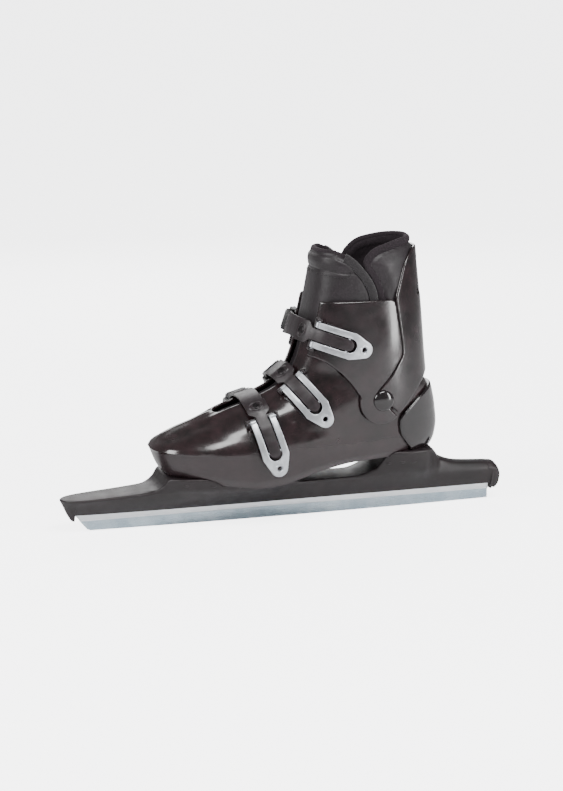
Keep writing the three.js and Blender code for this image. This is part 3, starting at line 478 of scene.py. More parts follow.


# high-carbon runner, surface ground along its length with fine lengthwise lines: grey steel whose cool blue
# tint is a painted reflection of the floor
runnerSteelReflectionTint = metalFinish("runnerSteelGround", {
    "metallic": 1.0, "dark": "#9fb0bc", "light": "#c6d2da", "patch": 30, "lineScale": (60, 1000, 1000),
    "line": 0.6, "smooth": 0.2, "rough": 0.36, "depth": 0.2})

# extruded aluminium rail, bright dipped
railAlloy = metalFinish("railAluminiumBright", {
    "metallic": 0.85, "dark": "#dfe3e8", "light": "#f6f8fa", "patch": 40, "lineScale": (80, 1000, 1000),
    "line": 0.8, "smooth": 0.26, "rough": 0.4, "depth": 0.12})

# die-cast buckle lever, tumbled to a satin silver
forkAlloy = metalFinish("leverZincSatin", {
    "metallic": 0.9, "dark": "#b9bcc1", "light": "#d9dce0", "patch": 7, "lineScale": (1000, 1000, 1000),
    "line": 0.35, "smooth": 0.3, "rough": 0.44, "depth": 0.16})

# zinc-plated pins, rivets, screws and bolts
pinSteel = metalFinish("pinSteelZincPlated", {
    "metallic": 1.0, "dark": "#8f9298", "light": "#bcbfc4", "patch": 3, "lineScale": (1000, 1000, 1000),
    "line": 0.5, "smooth": 0.22, "rough": 0.4, "depth": 0.1})

# the straps' own screws, black oxide over steel
screwSteel = metalFinish("screwSteelBlackOxide", {
    "metallic": 0.7, "dark": "#151314", "light": "#2b2729", "patch": 3, "lineScale": (1000, 1000, 1000),
    "line": 0.5, "smooth": 0.3, "rough": 0.48, "depth": 0.1})


def coatedLeather():
    # smooth polyurethane-coated leather over foam: fine pebble grain, soft sheen, slightly violet grey
    material, tree, surface = newMaterial("linerLeatherCoated",
                                          {"Sheen Weight": 0.06, "Sheen Roughness": 0.5,
                                           "IOR": 1.46})
    place = objectSpace(tree)
    tone = ramp(tree, noise(tree, place, 18, 4), [(0.3, colour("#110c0f")), (0.75, colour("#1e161b"))])
    tree.links.new(tone, surface.inputs["Base Color"])
    pebbles = addNode(tree, "ShaderNodeTexVoronoi", {"feature": "DISTANCE_TO_EDGE"}, {"Scale": 1 / 0.9},
                      {"Vector": place.outputs["Vector"]}).outputs["Distance"]
    gloss = ramp(tree, noise(tree, place, 10, 3), [(0.3, 0.42), (0.75, 0.58)])
    tree.links.new(gloss, surface.inputs["Roughness"])
    under = bumped(tree, surface, pebbles, 0.16, 0.25)
    bumped(tree, surface, noise(tree, place, 9, 3), 0.35, 1.2, under)
    return material


def knittedEdge():
    # brushed knit rolled over the collar: short fibres, no gloss, dark plum brown
    material, tree, surface = newMaterial("collarKnitBrushed", {"Sheen Weight": 0.5, "Sheen Roughness": 0.6,
                                                                "Roughness": 0.95})
    surface.inputs["Sheen Tint"].default_value = colour("#3d2f39")
    place = objectSpace(tree)
    tone = ramp(tree, noise(tree, place, 1.4, 3), [(0.3, colour("#0d080b")), (0.75, colour("#20161d"))])
    tree.links.new(tone, surface.inputs["Base Color"])
    under = bumped(tree, surface, noise(tree, place, 0.7, 2), 0.7, 0.5)
    bumped(tree, surface, noise(tree, place, 6, 2), 0.4, 1.0, under)
    return material


def wovenTape(name, dark, light, pitch):
    # plain-woven tape: threads cross at a regular pitch
    material, tree, surface = newMaterial(name, {"Roughness": 0.85, "Sheen Weight": 0.25,
                                                 "Sheen Roughness": 0.5})
    place = objectSpace(tree)
    turned = addNode(tree, "ShaderNodeVectorRotate", {"rotation_type": "Y_AXIS"}, {"Angle": 0.7},
                     {"Vector": place.outputs["Vector"]})
    waves = [addNode(tree, "ShaderNodeTexWave", {"bands_direction": axis},
                     {"Scale": 0.5 / pitch, "Distortion": 0.4},
                     {"Vector": turned.outputs["Vector"]}).outputs["Fac"] for axis in ("X", "Z")]
    weave = addNode(tree, "ShaderNodeMath", {"operation": "MULTIPLY"}, {},
                    {0: waves[0], 1: waves[1]}).outputs[0]
    tree.links.new(ramp(tree, weave, [(0.1, colour(dark)), (0.8, colour(light))]),
                   surface.inputs["Base Color"])
    bumped(tree, surface, weave, 0.6, 0.3)
    return material


linerLeather = coatedLeather()
collarKnit = knittedEdge()
bindingTape = wovenTape("bindingTapeWoven", "#080507", "#1f151c", 0.9)
liningFelt = wovenTape("liningFeltNeedled", "#1a1716", "#332e2c", 1.6)
stitchThread = wovenTape("stitchThreadTwisted", "#0a0809", "#1c1719", 0.3)
print("materials made")


# ---- boot skins: level outlines shared by every wall, the same as the moulds' ----
soleLevel = 40
soleRise = curveThrough([(-124, 9), (-96, 7), (-57, 2), (-36, 0), (-15, 1.5), (3, 6), (18, 10.5), (60, 17),
                         (100, 17.5), (150, 17)])
ball, ankle = 52, 46
shellSkin = {
    "front": curveThrough([(40, -117), (50, -126), (62, -131), (72, -133.3), (75, -133.3), (84, -126),
                           (92, -113),
                           (101, -92), (109, -73), (120, -42), (132, -15), (145, -1), (158, 6), (177, 12)]),
    "back": curveThrough([(40, 133), (50, 142), (64, 147), (80, 148.5), (100, 147), (118, 143.5),
                          (127, 140.5),
                          (136, 133.5), (150, 124.5), (160, 120), (177, 118)]),
    "ball": curveThrough([(40, ball - 9), (50, ball - 3), (62, ball - 0.6), (76, ball), (92, ball - 4),
                          (110, ball - 7.5), (130, ball - 11), (150, ball - 13), (177, ball - 13)]),
    "heel": curveThrough([(40, ball - 18), (50, ball - 14), (76, ball - 11.5), (100, ankle - 4.6),
                          (118, ankle - 4.6), (150, ankle - 5), (177, ankle - 7)]),
    "square": curveThrough([(40, 0.8), (75, 0.78), (95, 0.92), (115, 1), (140, 0.78), (158, 0.66),
                            (177, 0.64)]),
    "rise": soleRise,
}
cuffSkin = {
    "front": curveThrough([(86, -3), (120, -3), (145, -1), (162, 3), (177, 7), (214, 15), (272, 24)]),
    "back": curveThrough([(86, 143), (118, 141.5), (140, 139.3), (160, 137.2), (205, 133.3), (240, 129.5),
                          (272, 126)]),
    "ball": curveThrough([(86, ankle - 1), (118, ankle - 1), (160, ankle - 1.5), (214, ankle - 3),
                          (272, ankle - 8)]),
    "heel": curveThrough([(86, ankle), (118, ankle), (160, ankle - 1), (214, ankle - 5), (272, ankle - 11)]),
    "square": curveThrough([(86, 0.72), (162, 0.66), (214, 0.68), (272, 0.8)]),
    "rise": None,
}
heelSquare = 0.9


def skinOutline(skin, level, turn):
    front, back = skin["front"](level), skin["back"](level)
    middle, reach = (front + back) / 2, (back - front) / 2
    cos, sin = np.cos(turn), np.sin(turn)
    power = np.where(cos > 0, skin["square"](level), heelSquare)
    x = middle - reach * np.sign(cos) * np.abs(cos)**power
    share = smoothstep(-cos, -0.6, 0.7)
    widest = skin["ball"](level) * (1 - share) + skin["heel"](level) * share
    y = -widest * np.sign(sin) * np.abs(sin)**power
    rise = skin["rise"](x) * (1 - np.clip((level - soleLevel) / 60, 0, 1)) if skin["rise"] else 0 * x
    return np.stack([x, y, level + rise + 0 * x], -1)


def skinPoint(skin, level, turn, offset=0.0):
    level, turn = np.broadcast_arrays(np.asarray(level, float), np.asarray(turn, float))
    here = skinOutline(skin, level, turn)
    small = 0.02
    alongTurn = skinOutline(skin, level, turn + small) - skinOutline(skin, level, turn - small)
    alongLevel = skinOutline(skin, level + 0.5, turn) - skinOutline(skin, level - 0.5, turn)
    out = np.cross(alongTurn, alongLevel)
    out = out / np.maximum(np.linalg.norm(out, axis=-1), 1e-9)[..., None]
    return here + out * np.asarray(offset)[..., None]


def skinHalfWidth(skin, x, level):
    front, back = float(skin["front"](level)), float(skin["back"](level))
    middle, reach = (front + back) / 2, (back - front) / 2
    share = (middle - x) / reach
    if abs(share) >= 1:
        return 0.0
    power = float(skin["square"](level)) if share > 0 else heelSquare
    turn = math.acos(math.copysign(abs(share)**(1 / power), share))
    return abs(float(skinOutline(skin, np.array(level), np.array(turn))[1]))


def onSkin(skin, x, z, side, offset=0.0):
    # point of the skin at a side-view place, side -1 lateral or 1 medial
    front, back = float(skin["front"](z)), float(skin["back"](z))
    middle, reach = (front + back) / 2, (back - front) / 2
    share = float(np.clip((middle - x) / reach, -0.999, 0.999))
    power = float(skin["square"](z)) if share > 0 else heelSquare
    turn = math.acos(math.copysign(abs(share)**(1 / power), share))
    return skinPoint(skin, z, turn if side < 0 else tau - turn, offset)


def skinGrid(skin, levels, around, offset=0.0, detail=None):
    # offset may be a number or a function of the points; detail adds its own lift along the normal
    turns = np.arange(around) / around * tau
    level, turn = np.meshgrid(levels, turns, indexing="ij")
    points = skinPoint(skin, level, turn, np.full(level.shape, float(offset)))
    if detail is not None:
        points = skinPoint(skin, level, turn, offset + detail(points, level, turn))
    return points.reshape(-1, 3), gridFaces(len(levels), around)


def closedSkin(name, skin, offset, low, high, material, steps=60, around=160):
    points, _ = skinGrid(skin, np.linspace(low, high, steps), around, offset)
    return loftObject(name, points.reshape(steps, around, 3), material)


# ---- lower shell ----
shell = {
    "hollowDepth": 1.2, "hollowAt": 19, "hollowWidth": 8, "lipHeight": 1.2, "lipWidth": 3.2,
    "dimpleDepth": 1.3, "dimpleAt": (-6, 104.5), "dimpleWidth": 2.6,
    "wall": 3.0, "rim": 1.1, "around": 288, "levels": 104, "creaseLevel": 73.6, "creaseHeight": 1.9,
    "creaseWidth": 2.6, "ridgeHeight": 2.0, "ridgeWidth": 6.0, "slotHalf": 11.5, "slotFront": -74.0,
    "top": [(-200, 400, 0), (-200, 177, 0), (17, 177, 7), (27, 168, 14), (43, 143, 10), (60, 137, 5),
            (200, 137, 0), (200, 400, 0)],
    "counterHeight": 3.4, "counterRim": 1.3,
    "counter": [(145, 127.5, 0), (124, 116, 12), (105, 100, 9), (103.4, 92, 6), (105, 81, 10), (122, 58, 12),
                (132, 46, 0), (175, 46, 0), (175, 127.5, 0)],
}


def shellLevels():
    lower = np.linspace(40, 72.4, 26)
    upper = np.linspace(75.2, 177.5, shell["levels"] - 29)
    return np.concatenate([lower, [shell["creaseLevel"]], upper])


def shellDetail(points, level, turn):
    x, y, z = points[..., 0], points[..., 1], points[..., 2]
    toeShare = 1 - smoothstep(x, -92, -26)
    fromCrease = np.abs(level - shell["creaseLevel"])
    crease = shell["creaseHeight"] * np.exp(-fromCrease / shell["creaseWidth"]) * toeShare
    top = smoothstep(level, 78, 88) * (1 - smoothstep(x, -84, -62))
    ridge = shell["ridgeHeight"] * np.exp(-np.abs(y) / shell["ridgeWidth"]) * top
    # soft hollow each side of the ridge, a raised lip along the slot and one moulded dimple
    fromHollow = np.abs(y) - shell["hollowAt"]
    hollow = -shell["hollowDepth"] * np.exp(-(fromHollow / shell["hollowWidth"])**2) * top
    fromLip = np.abs(y) - shell["slotHalf"] - 1.5
    lip = shell["lipHeight"] * np.exp(-(fromLip / shell["lipWidth"])**2)
    flange = lip * smoothstep(level, 100, 110) * (x < 40)
    fromDimple = np.hypot(x - shell["dimpleAt"][0], z - shell["dimpleAt"][1])
    dimple = -shell["dimpleDepth"] * np.exp(-(fromDimple / shell["dimpleWidth"])**2) * (y < 0)
    return crease + ridge + hollow + flange + dimple


def slotField(points):  # positive away from the instep slot
    x, y = points[:, 0], points[:, 1]
    centre = shell["slotFront"] + shell["slotHalf"]
    away = np.where(x < centre, np.hypot(x - centre, y), np.abs(y)) - shell["slotHalf"] - shell["rim"]
    return np.where((points[:, 2] > 92) & (x < 62), away, 50.0)


def solePoints(ring, steps=9):  # rings that close the sole inwards to its centre line
    half = np.abs(ring[:, 1]).max()
    low, high = ring[:, 0].min() + half, ring[:, 0].max() - half
    core = np.stack([np.clip(ring[:, 0], low, high), 0 * ring[:, 1], ring[:, 2]], -1)
    core[:, 2] = soleLevel + soleRise(core[:, 0])
    rings = []
    for k in range(1, steps + 1):
        share = 1 - k / steps
        inner = core + (ring - core) * share
        inner[:, 2] = soleLevel + soleRise(inner[:, 0])
        rings.append(inner)
    return rings


def buildShell():
    levels = shellLevels()
    points, faces = skinGrid(shellSkin, levels, shell["around"], 0.0, shellDetail)
    rows = points.reshape(len(levels), shell["around"], 3)
    sole = solePoints(rows[0])[::-1]
    everything = np.concatenate([np.concatenate(sole), points])
    faces = gridFaces(len(levels) + len(sole), shell["around"])
    topField = -insideBy(roundedLine(shell["top"]), everything[:, 0], everything[:, 2]) - shell["rim"]
    field = np.minimum(topField, slotField(everything))
    solid = thickened(*clipped(everything, faces, field), shell["wall"], shell["rim"])
    made = makeObject("lowerShell", *solid, shellPlastic, 50)
    standsFor(made, "lower_shell", slot="shell_plastic")
    return made


def buildCounter():
    levels = np.linspace(47, 131, 60)
    points, faces = skinGrid(shellSkin, levels, shell["around"], shell["counterHeight"])
    line = roundedLine(shell["counter"])
    field = insideBy(line, points[:, 0], points[:, 2]) - shell["counterRim"]
    solid = thickened(*clipped(points, faces, field), shell["counterHeight"] + 0.8, shell["counterRim"])
    made = makeObject("heelCounter", *solid, counterPlastic, 60)
    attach(made, "boot")
    return made


buildShell()
buildCounter()
print("shell made")


# ---- cuff and spoiler ----
pivot = (82.5, 118.0)
cuff = {
    "wall": 3.2, "rim": 1.6, "around": 300, "levels": 110, "gap": 30.0, "top": 214.0, "earRadius": 23.4,
    "spoilerLine": [(96, 214), (103.2, 170), (103.4, 160), (92, 143), (76, 126), (82.5, 118), (97, 106)],
}


def earArc(radius, start, end, steps=24):
    turns = np.linspace(start, end, steps)
    return [(pivot[0] + radius * math.cos(t), pivot[1] + radius * math.sin(t), 0) for t in turns]


def cuffLine():
    corners = [(-60, cuff["top"], 0), (-60, 162, 0), (12, 162, 4)]
    corners += [(24, 158.5, 10), (40, 147, 14), (52, 134, 14)]
    corners += earArc(cuff["earRadius"], math.pi * 0.93, math.pi * 1.74)
    corners += [(x, z, 5) for x, z in reversed(cuff["spoilerLine"][:-1])]
    return roundedLine(corners)


def spoilerLine():
    low = pivot[1] - cuff["earRadius"] * 0.7
    line = cuff["spoilerLine"]
    corners = [(98, 106, 2), (pivot[0] + cuff["earRadius"] * 0.74, low + 0.6, 4), (137.4, 140.4, 5),
               (175, 143, 0),
               (175, 261, 0), (121, 261, 6), (108, 249, 16), (97.5, 219, 4)]
    return roundedLine(corners + [(x + 0.4, z, 5) for x, z in line[:-1]])


def buildCuff():
    levels = np.linspace(88, 216, cuff["levels"])
    points, faces = skinGrid(cuffSkin, levels, cuff["around"], 0.5)
    field = insideBy(cuffLine(), points[:, 0], points[:, 2]) - cuff["rim"]
    field = np.minimum(field, np.where(points[:, 0] < 62, np.abs(points[:, 1]) - cuff["gap"] - cuff["rim"],
                                       50))
    solid = thickened(*clipped(points, faces, field), cuff["wall"], cuff["rim"])
    return standsFor(makeObject("cuffShell", *solid, cuffPlastic, 60), "cuff", slot="cuff_plastic")


def buildSpoiler():
    levels = np.linspace(88, 264, 120)
    points, faces = skinGrid(cuffSkin, levels, cuff["around"], -0.1)
    rim = 1.3
    field = insideBy(spoilerLine(), points[:, 0], points[:, 2]) - rim
    # one window each side of a centre spine
    window = roundedLine([(9, 214, 4), (24, 214, 4), (15, 248, 3), (9, 248, 3)])
    opened = -insideBy(window, np.abs(points[:, 1]), points[:, 2]) - rim
    field = np.minimum(field, np.where(points[:, 0] > 100, opened, 50))
    solid = thickened(*clipped(points, faces, field), 3.0, rim)
    return standsFor(makeObject("spoilerShell", *solid, cuffPlastic, 60), "spoiler", slot="cuff_plastic")


buildCuff()
buildSpoiler()
print("cuff made")


# ---- blade holder, cap, rail and runner ----
holderFront, holderBack = -221.5, 221.5
toeStart, heelEnd, capLength = -131, 156, 15.2
seam = holderBack - capLength
bladeFront, bladeBack = holderFront + 13.2, holderBack - 11.8


def nose(share):
    return holderFront + (toeStart - holderFront) * share


def tail(share):
    return heelEnd + (seam - heelEnd) * share


holder = {
    "bottom": curveThrough([(nose(0), 31.5), (nose(0.13), 11.6), (nose(0.14), 11.6)]),
    "bottomHalf": curveThrough([(nose(0), 1), (nose(0.1), 3.4), (nose(0.5), 6), (-100, 7.5), (100, 7),
                                (seam, 6)]),
    "flankHalf": curveThrough([(nose(0), 2), (nose(0.13), 9.5), (toeStart, 15.5), (-80, 20), (-50, 20),
                               (8, 13),
                               (115, 13), (heelEnd, 11), (seam, 10.5)]),
    "deckEdge": curveThrough([(nose(0), 32.8), (toeStart, 38.4), (-110, 40.5), (-50, 38), (60, 37),
                              (110, 42),
                              (140, 39), (heelEnd, 34.8), (seam, 34.4)]),
    "deckHalf": curveThrough([(nose(0), 3), (nose(0.03), 8.5), (nose(0.08), 12.5), (nose(0.2), 16),
                              (toeStart, 22.5), (-108, 31), (-80, 35), (-45, 35), (-8, 25), (10, 21),
                              (60, 19),
                              (96, 22), (115, 24), (135, 22), (148, 14), (heelEnd, 11.6), (seam, 11)]),
    "rim": curveThrough([(nose(0), 33.6), (toeStart - 12, 38.9), (toeStart - 3, 40.6),
                   (toeStart + 3, 44.5), (toeStart + 10, 52), (-100, 52), (-50, 46), (-25, 45),
                         (-6, 42), (10, 38.4), (62, 38.4), (84, 45), (98, 62), (140, 62), (150, 54),
                         (heelEnd, 47),
                         (tail(0.35), 41.4), (seam, 39)]),
    "rimHalf": curveThrough([(nose(0), 1.6), (nose(0.03), 5), (nose(0.08), 8), (nose(0.2), 10.5),
                             (toeStart - 12, 15), (toeStart - 2, 21.5), (toeStart + 10, 28), (-108, 35),
                             (-80, 38.5), (-45, 38.5), (-8, 29),
                             (10, 20), (62, 18), (84, 21), (100, 29), (118, 31), (136, 27), (150, 13),
                             (heelEnd, 8), (seam, 7)]),
    "crown": curveThrough([(nose(0), 0.2), (nose(0.2), 0.9), (toeStart - 6, 0.8), (toeStart + 7, 0),
                           (heelEnd, 2), (seam, 2)]),
    "lowerEdge": 17.2, "flank": 27,
}


def mirrored(half, x):  # closed ring in the plane at x from its lateral half, bottom to top
    lateral = [(x, -y, z) for y, z in half]
    medial = [(x, y, z) for y, z in half[::-1]]
    return np.array(lateral + medial[1:-1] if half[0][0] < 1e-6 and half[-1][0] < 1e-6 else lateral + medial)


def holderSection(x):
    low = float(holder["bottom"](x)) if x < nose(0.145) else holder["lowerEdge"]
    deck, rim = float(holder["deckEdge"](x)), float(holder["rim"](x))
    deckHalf, rimHalf = float(holder["deckHalf"](x)), float(holder["rimHalf"](x))
    flank = max(low + 0.6, min(holder["flank"], deck - 5))
    flankHalf = float(holder["flankHalf"](x))
    corners = [(0.0, low, 0), (float(holder["bottomHalf"](x)), low, 1.2), (flankHalf, flank, 5),
               (deckHalf, deck, 3.6), (rimHalf, rim, 3), (0.0, rim + float(holder["crown"](x)), 0)]
    return mirrored([tuple(p) for p in roundedLine(corners, closed=False, steps=8)], x)


def spaced(stops, count):
    shares = np.linspace(0, 1, count)
    return np.interp(shares, np.linspace(0, 1, len(stops)), stops)


def buildHolder():
    xs = np.unique(np.concatenate([spaced([nose(0), nose(0.04), nose(0.135)], 26),
                                   [nose(0.141), nose(0.149)],
                                   spaced([nose(0.17), toeStart], 30), spaced([toeStart, toeStart + 8], 12),
                                   spaced([toeStart + 8, heelEnd], 130), spaced([heelEnd, seam], 24)]))
    made = loftObject("bladeHolder", [holderSection(x) for x in xs], holderPlastic, 32)
    keepOut = closedSkin("shellKeepOut", shellSkin, 0.5, 39.6, 110, holderPlastic)
    cutBy(made, keepOut)
    bpy.data.objects.remove(keepOut)
    shadeSmooth(made, 32)
    return standsFor(made, "blade_holder", slot="holder_plastic")


def buildCap():
    start = seam + 0.4
    reach = holderBack - start
    keys = [0, 0.3, 0.55, 0.8, 0.94, 1]
    curves = {
        "low": [17.2, 17.2, 12, 14.4, 17.4, 20.5], "lowHalf": [6, 6, 5.2, 4.6, 3.6, 2],
        "middle": [34.4, 34, 33, 30, 26, 23.5], "middleHalf": [11, 10.8, 10.2, 9, 7, 3.4],
        "high": [39, 38.6, 37, 33.4, 28.6, 25], "highHalf": [7, 7, 6.4, 5.4, 4, 2],
    }
    at = {key: curveThrough(list(zip(keys, values))) for key, values in curves.items()}

    def section(share, low=None):
        value = {key: float(curve(share)) for key, curve in at.items()}
        base = value["low"] if low is None else low
        corners = [(0.0, base, 0), (value["lowHalf"], base, 1.2), (value["middleHalf"], value["middle"], 2),
                   (value["highHalf"], value["high"], 2), (0.0, value["high"] + value["highHalf"] * 0.25, 0)]
        return mirrored([tuple(p) for p in roundedLine(corners, closed=False, steps=5)],
                        start + reach * share)
    rings = [section(share, 17.2) for share in np.linspace(0, 0.3, 6)]
    rings += [section(share, 11.4) for share in (0.302, 0.36)]
    rings += [section(share) for share in np.linspace(0.46, 1, 16)]
    made = loftObject("heelEndCap", rings, holderPlastic, 40)
    return standsFor(made, "heel_end_cap", slot="holder_plastic")


def bladePlate(name, side, half, material, bevel=0.15):
    return plateObject(name, [side], -half, half, material, bevel, axes="xz")


def buildRail():
    half, low, top = 2.3, 10.6, 21
    lowered = 12.2  # the lower corner is broken back to the slot
    section = roundedLine([(0.0, low, 0), (1.15, low, 0), (1.3, low + 0.25, 0),
                           (half - 0.35, low + 0.3, 0.3),
                           (half, lowered - 0.7, 0.3), (half, lowered + 0.15, 0),
                           (half - 0.3, lowered + 0.35, 0),
                           (half, lowered + 0.6, 0), (half, top, 0), (0.0, top, 0)], closed=False)
    xs = np.concatenate([[bladeFront, bladeFront + 1.5, bladeFront + 6],
                         np.linspace(bladeFront + 8, bladeBack, 60)])
    rings = []
    for x in xs:
        lift = max(0, bladeFront + 6 - x) / 6 * 6.6  # the front end slants up into the holder
        half2 = [(y, z + lift * (top - z) / (top - low)) for y, z in section]
        rings.append(mirrored(half2, x))
    return standsFor(loftObject("bladeRail", rings, railAlloy, 28), "blade_rail", slot="rail_alloy")


def buildRunner():
    front = bladeFront + 15
    middle, half = (front + bladeBack) / 2, (bladeBack - front) / 18
    xs = np.linspace(front, bladeBack - 0.6, 90)
    edge = [(x, max(0.0, abs(x - middle) - half)**2 / 24000) for x in xs]
    side = [(bladeFront + 2.2, 15.6), (bladeFront + 5, 11), (bladeFront + 9, 6),
            (bladeFront + 12, 2.6)] + edge
    side += [(bladeBack - 0.1, 0.9), (bladeBack - 0.1, 15.6)]
    return standsFor(bladePlate("runner", side, 0.8, runnerSteelReflectionTint, 0.12), "runner", slot="blade_steel")


buildHolder()
buildCap()
buildRail()
buildRunner()
print("blade made")


# ---- repeated small shapes: one Geometry Nodes tree puts a shape on every marked point ----
def repeatTree(name, kind, settings):
    tree = bpy.data.node_groups.new(name, "GeometryNodeTree")
    tree.is_modifier = True
    faceIn = tree.interface
    faceIn.new_socket("Geometry", in_out="INPUT", socket_type="NodeSocketGeometry")
    for label in ("Length", "Width", "Height"):
        faceIn.new_socket(label, in_out="INPUT", socket_type="NodeSocketFloat")
    faceIn.new_socket("Material", in_out="INPUT", socket_type="NodeSocketMaterial")
    faceIn.new_socket("Geometry", in_out="OUTPUT", socket_type="NodeSocketGeometry")
    start = addNode(tree, "NodeGroupInput")
    finish = addNode(tree, "NodeGroupOutput")
    shape = addNode(tree, kind, {}, settings)
    size = addNode(tree, "ShaderNodeCombineXYZ", {}, {}, {"X": start.outputs["Length"],
                                                          "Y": start.outputs["Width"],
                                                           "Z": start.outputs["Height"]})
    sized = addNode(tree, "GeometryNodeTransform", {}, {}, {"Geometry": shape.outputs["Mesh"],
                                                             "Scale": size.outputs["Vector"]})
    along = addNode(tree, "GeometryNodeInputNamedAttribute", {"data_type": "FLOAT_VECTOR"},
                    {"Name": "along"})
    out = addNode(tree, "GeometryNodeInputNamedAttribute", {"data_type": "FLOAT_VECTOR"}, {"Name": "out"})
    upright = addNode(tree, "FunctionNodeAlignRotationToVector", {"axis": "Z"}, {},
                      {"Vector": out.outputs["Attribute"]})
    turned = addNode(tree, "FunctionNodeAlignRotationToVector", {"axis": "X", "pivot_axis": "Z"}, {},
                     {"Rotation": upright.outputs["Rotation"], "Vector": along.outputs["Attribute"]})
    placed = addNode(tree, "GeometryNodeInstanceOnPoints", {}, {}, {
        "Points": start.outputs["Geometry"], "Instance": sized.outputs["Geometry"],
        "Rotation": turned.outputs["Rotation"]})
    real = addNode(tree, "GeometryNodeRealizeInstances", {}, {}, {"Geometry": placed.outputs["Instances"]})
    coloured = addNode(tree, "GeometryNodeSetMaterial", {}, {}, {"Geometry": real.outputs["Geometry"],
                                                                  "Material": start.outputs["Material"]})
    tree.links.new(coloured.outputs["Geometry"], finish.inputs["Geometry"])
    return tree


def repeated(name, tree, spots, size, material, sharpAngle=30):
    # spots are (place, along, out) in millimetres; size is length, width, height
    mesh = bpy.data.meshes.new(name)
    mesh.from_pydata([tuple(np.asarray(place, float) * mm) for place, _, _ in spots], [], [])
    for label, column in (("along", 1), ("out", 2)):
        values = mesh.attributes.new(label, "FLOAT_VECTOR", "POINT")
        values.data.foreach_set("vector", np.array([spot[column] for spot in spots], float).ravel())
    made = bpy.data.objects.new(name, mesh)
    bpy.context.scene.collection.objects.link(made)
    modifier = made.modifiers.new("repeat", "NODES")
    modifier.node_group = tree
    sockets = {item.name: item.identifier for item in tree.interface.items_tree if item.in_out == "INPUT"}
    for label, value in zip(("Length", "Width", "Height"), size):
        modifier[sockets[label]] = value * mm
    modifier[sockets["Material"]] = material
    convert(made)
    shadeSmooth(made, sharpAngle)
    return made


toothTree = repeatTree("strapTeeth", "GeometryNodeMeshCone",
                       {"Vertices": 4, "Radius Top": 0.35, "Radius Bottom": 0.75,
                        "Depth": 1.0})
stitchTree = repeatTree("stitches", "GeometryNodeMeshUVSphere", {"Segments": 8, "Rings": 5, "Radius": 0.5})
padTree = repeatTree("mouldedPads", "GeometryNodeMeshUVSphere", {"Segments": 20, "Rings": 10, "Radius": 0.5})
ribTree = repeatTree("mouldedRibs", "GeometryNodeMeshCube", {"Size": (1.0, 1.0, 1.0)})


def buildCupRibs():
    # small oval pads just under the rims of both cups
    spots = []
    for x in (-107, -82, -56, 97, 110, 121):
        for side in (-1, 1):
            deck, rim = float(holder["deckEdge"](x)), float(holder["rim"](x))
            half, top = float(holder["deckHalf"](x)), float(holder["rimHalf"](x))
            spots.append(((x, side * (half + (top - half) * 0.45), deck + (rim - deck) * 0.45),
                          (1, 0, 0), (0, side * (rim - deck), half - top)))
    made = repeated("cupPads", padTree, spots, (5.5, 2.6, 1.1), holderPlastic)
    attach(made, "boot")


buildCupRibs()


# ---- buckles: frames and strap routes ----
buckle = {
    "pinRadius": 1.2,
    "hingeHeight": 7.0, "bow": 6.0, "length": 56.0, "width": 26.0, "thickness": 4.0, "linkWidth": 11.0,
    "pinReach": 31.5, "strapWidth": 20.0, "strapThickness": 1.8, "linkOffset": 5.3, "ladderOffset": 2.8,
    "catchTurn": math.radians(118), "catchReach": 15.0, "screwAt": 15.0,
}
buckleSpots = {
    "toe": {"skin": shellSkin, "hinge": (-36, 105.5), "tail": (-23, 58.7), "lift": 0.4},
    "instep": {"skin": shellSkin, "hinge": (-2, 136.5), "tail": (31, 95), "lift": 3.8},
    "cuff": {"skin": cuffSkin, "hinge": (18, 183.5), "tail": (68, 167), "lift": 0.4},
}


def bow(x):
    half = buckle["length"] / 2
    return buckle["bow"] * (1 - ((x - half) / half)**2)


def buckleFrame(spot):
    ends = [Vector((x, -skinHalfWidth(spot["skin"], x, z), z)) for x, z in (spot["hinge"], spot["tail"])]
    along = (ends[1] - ends[0]).normalized()
    across = Vector((-along.z, 0, along.x)).normalized()
    out = along.cross(across).normalized()
    turn = Matrix((along, across, out)).transposed().to_4x4()
    turn.translation = ends[0] + out * buckle["hingeHeight"]
    return turn


def planeOutline(spot, place):
    (x, z), (tailX, tailZ) = spot["hinge"], spot["tail"]
    step = Vector((x - tailX, z - tailZ)).normalized()
    inside, outside = 0.0, 60.0
    while outside - inside > 0.001:
        middle = (inside + outside) / 2
        if skinHalfWidth(spot["skin"], x + step.x * middle, z + step.y * middle) > 0:
            inside = middle
        else:
            outside = middle
    rise = [-6 + (inside + 6) * math.sin(i / 80 * math.pi / 2) for i in range(80)]
    back = place.inverted()

    def local(h, side):
        at = (x + step.x * h, z + step.y * h)
        spotHere = back @ Vector((at[0], side * skinHalfWidth(spot["skin"], *at), at[1]))
        return (spotHere.x, spotHere.z)
    return np.array([local(h, -1) for h in rise] + [local(inside, 0)] + [local(h, 1) for h in rise[::-1]])


def smoothLine(points, samples=14):  # Catmull-Rom line through points, as dense points with their arc length
    points = np.asarray(points, float)
    dense = []
    for i in range(len(points) - 1):
        a, b = points[max(i - 1, 0)], points[i]
        c, d = points[i + 1], points[min(i + 2, len(points) - 1)]
        for k in range(samples):
            t = k / samples
            dense.append(0.5 * (2 * b + (c - a) * t + (2 * a - 5 * b + 4 * c - d) * t**2
                                + (3 * b - a - 3 * c + d) * t**3))
    dense.append(points[-1])
    dense = np.array(dense)
    length = np.concatenate([[0], np.cumsum(np.linalg.norm(np.diff(dense, axis=0), axis=1))])
    return {"points": dense, "length": length}


def lineAt(line, s):
    s = np.asarray(s, float)
    return np.stack([np.interp(s, line["length"], line["points"][:, k]) for k in (0, 1)], -1)


def lineTurn(line, s):
    step = lineAt(line, np.asarray(s) + 0.6) - lineAt(line, np.asarray(s) - 0.6)
    return step / np.maximum(np.linalg.norm(step, axis=-1), 1e-9)[..., None]


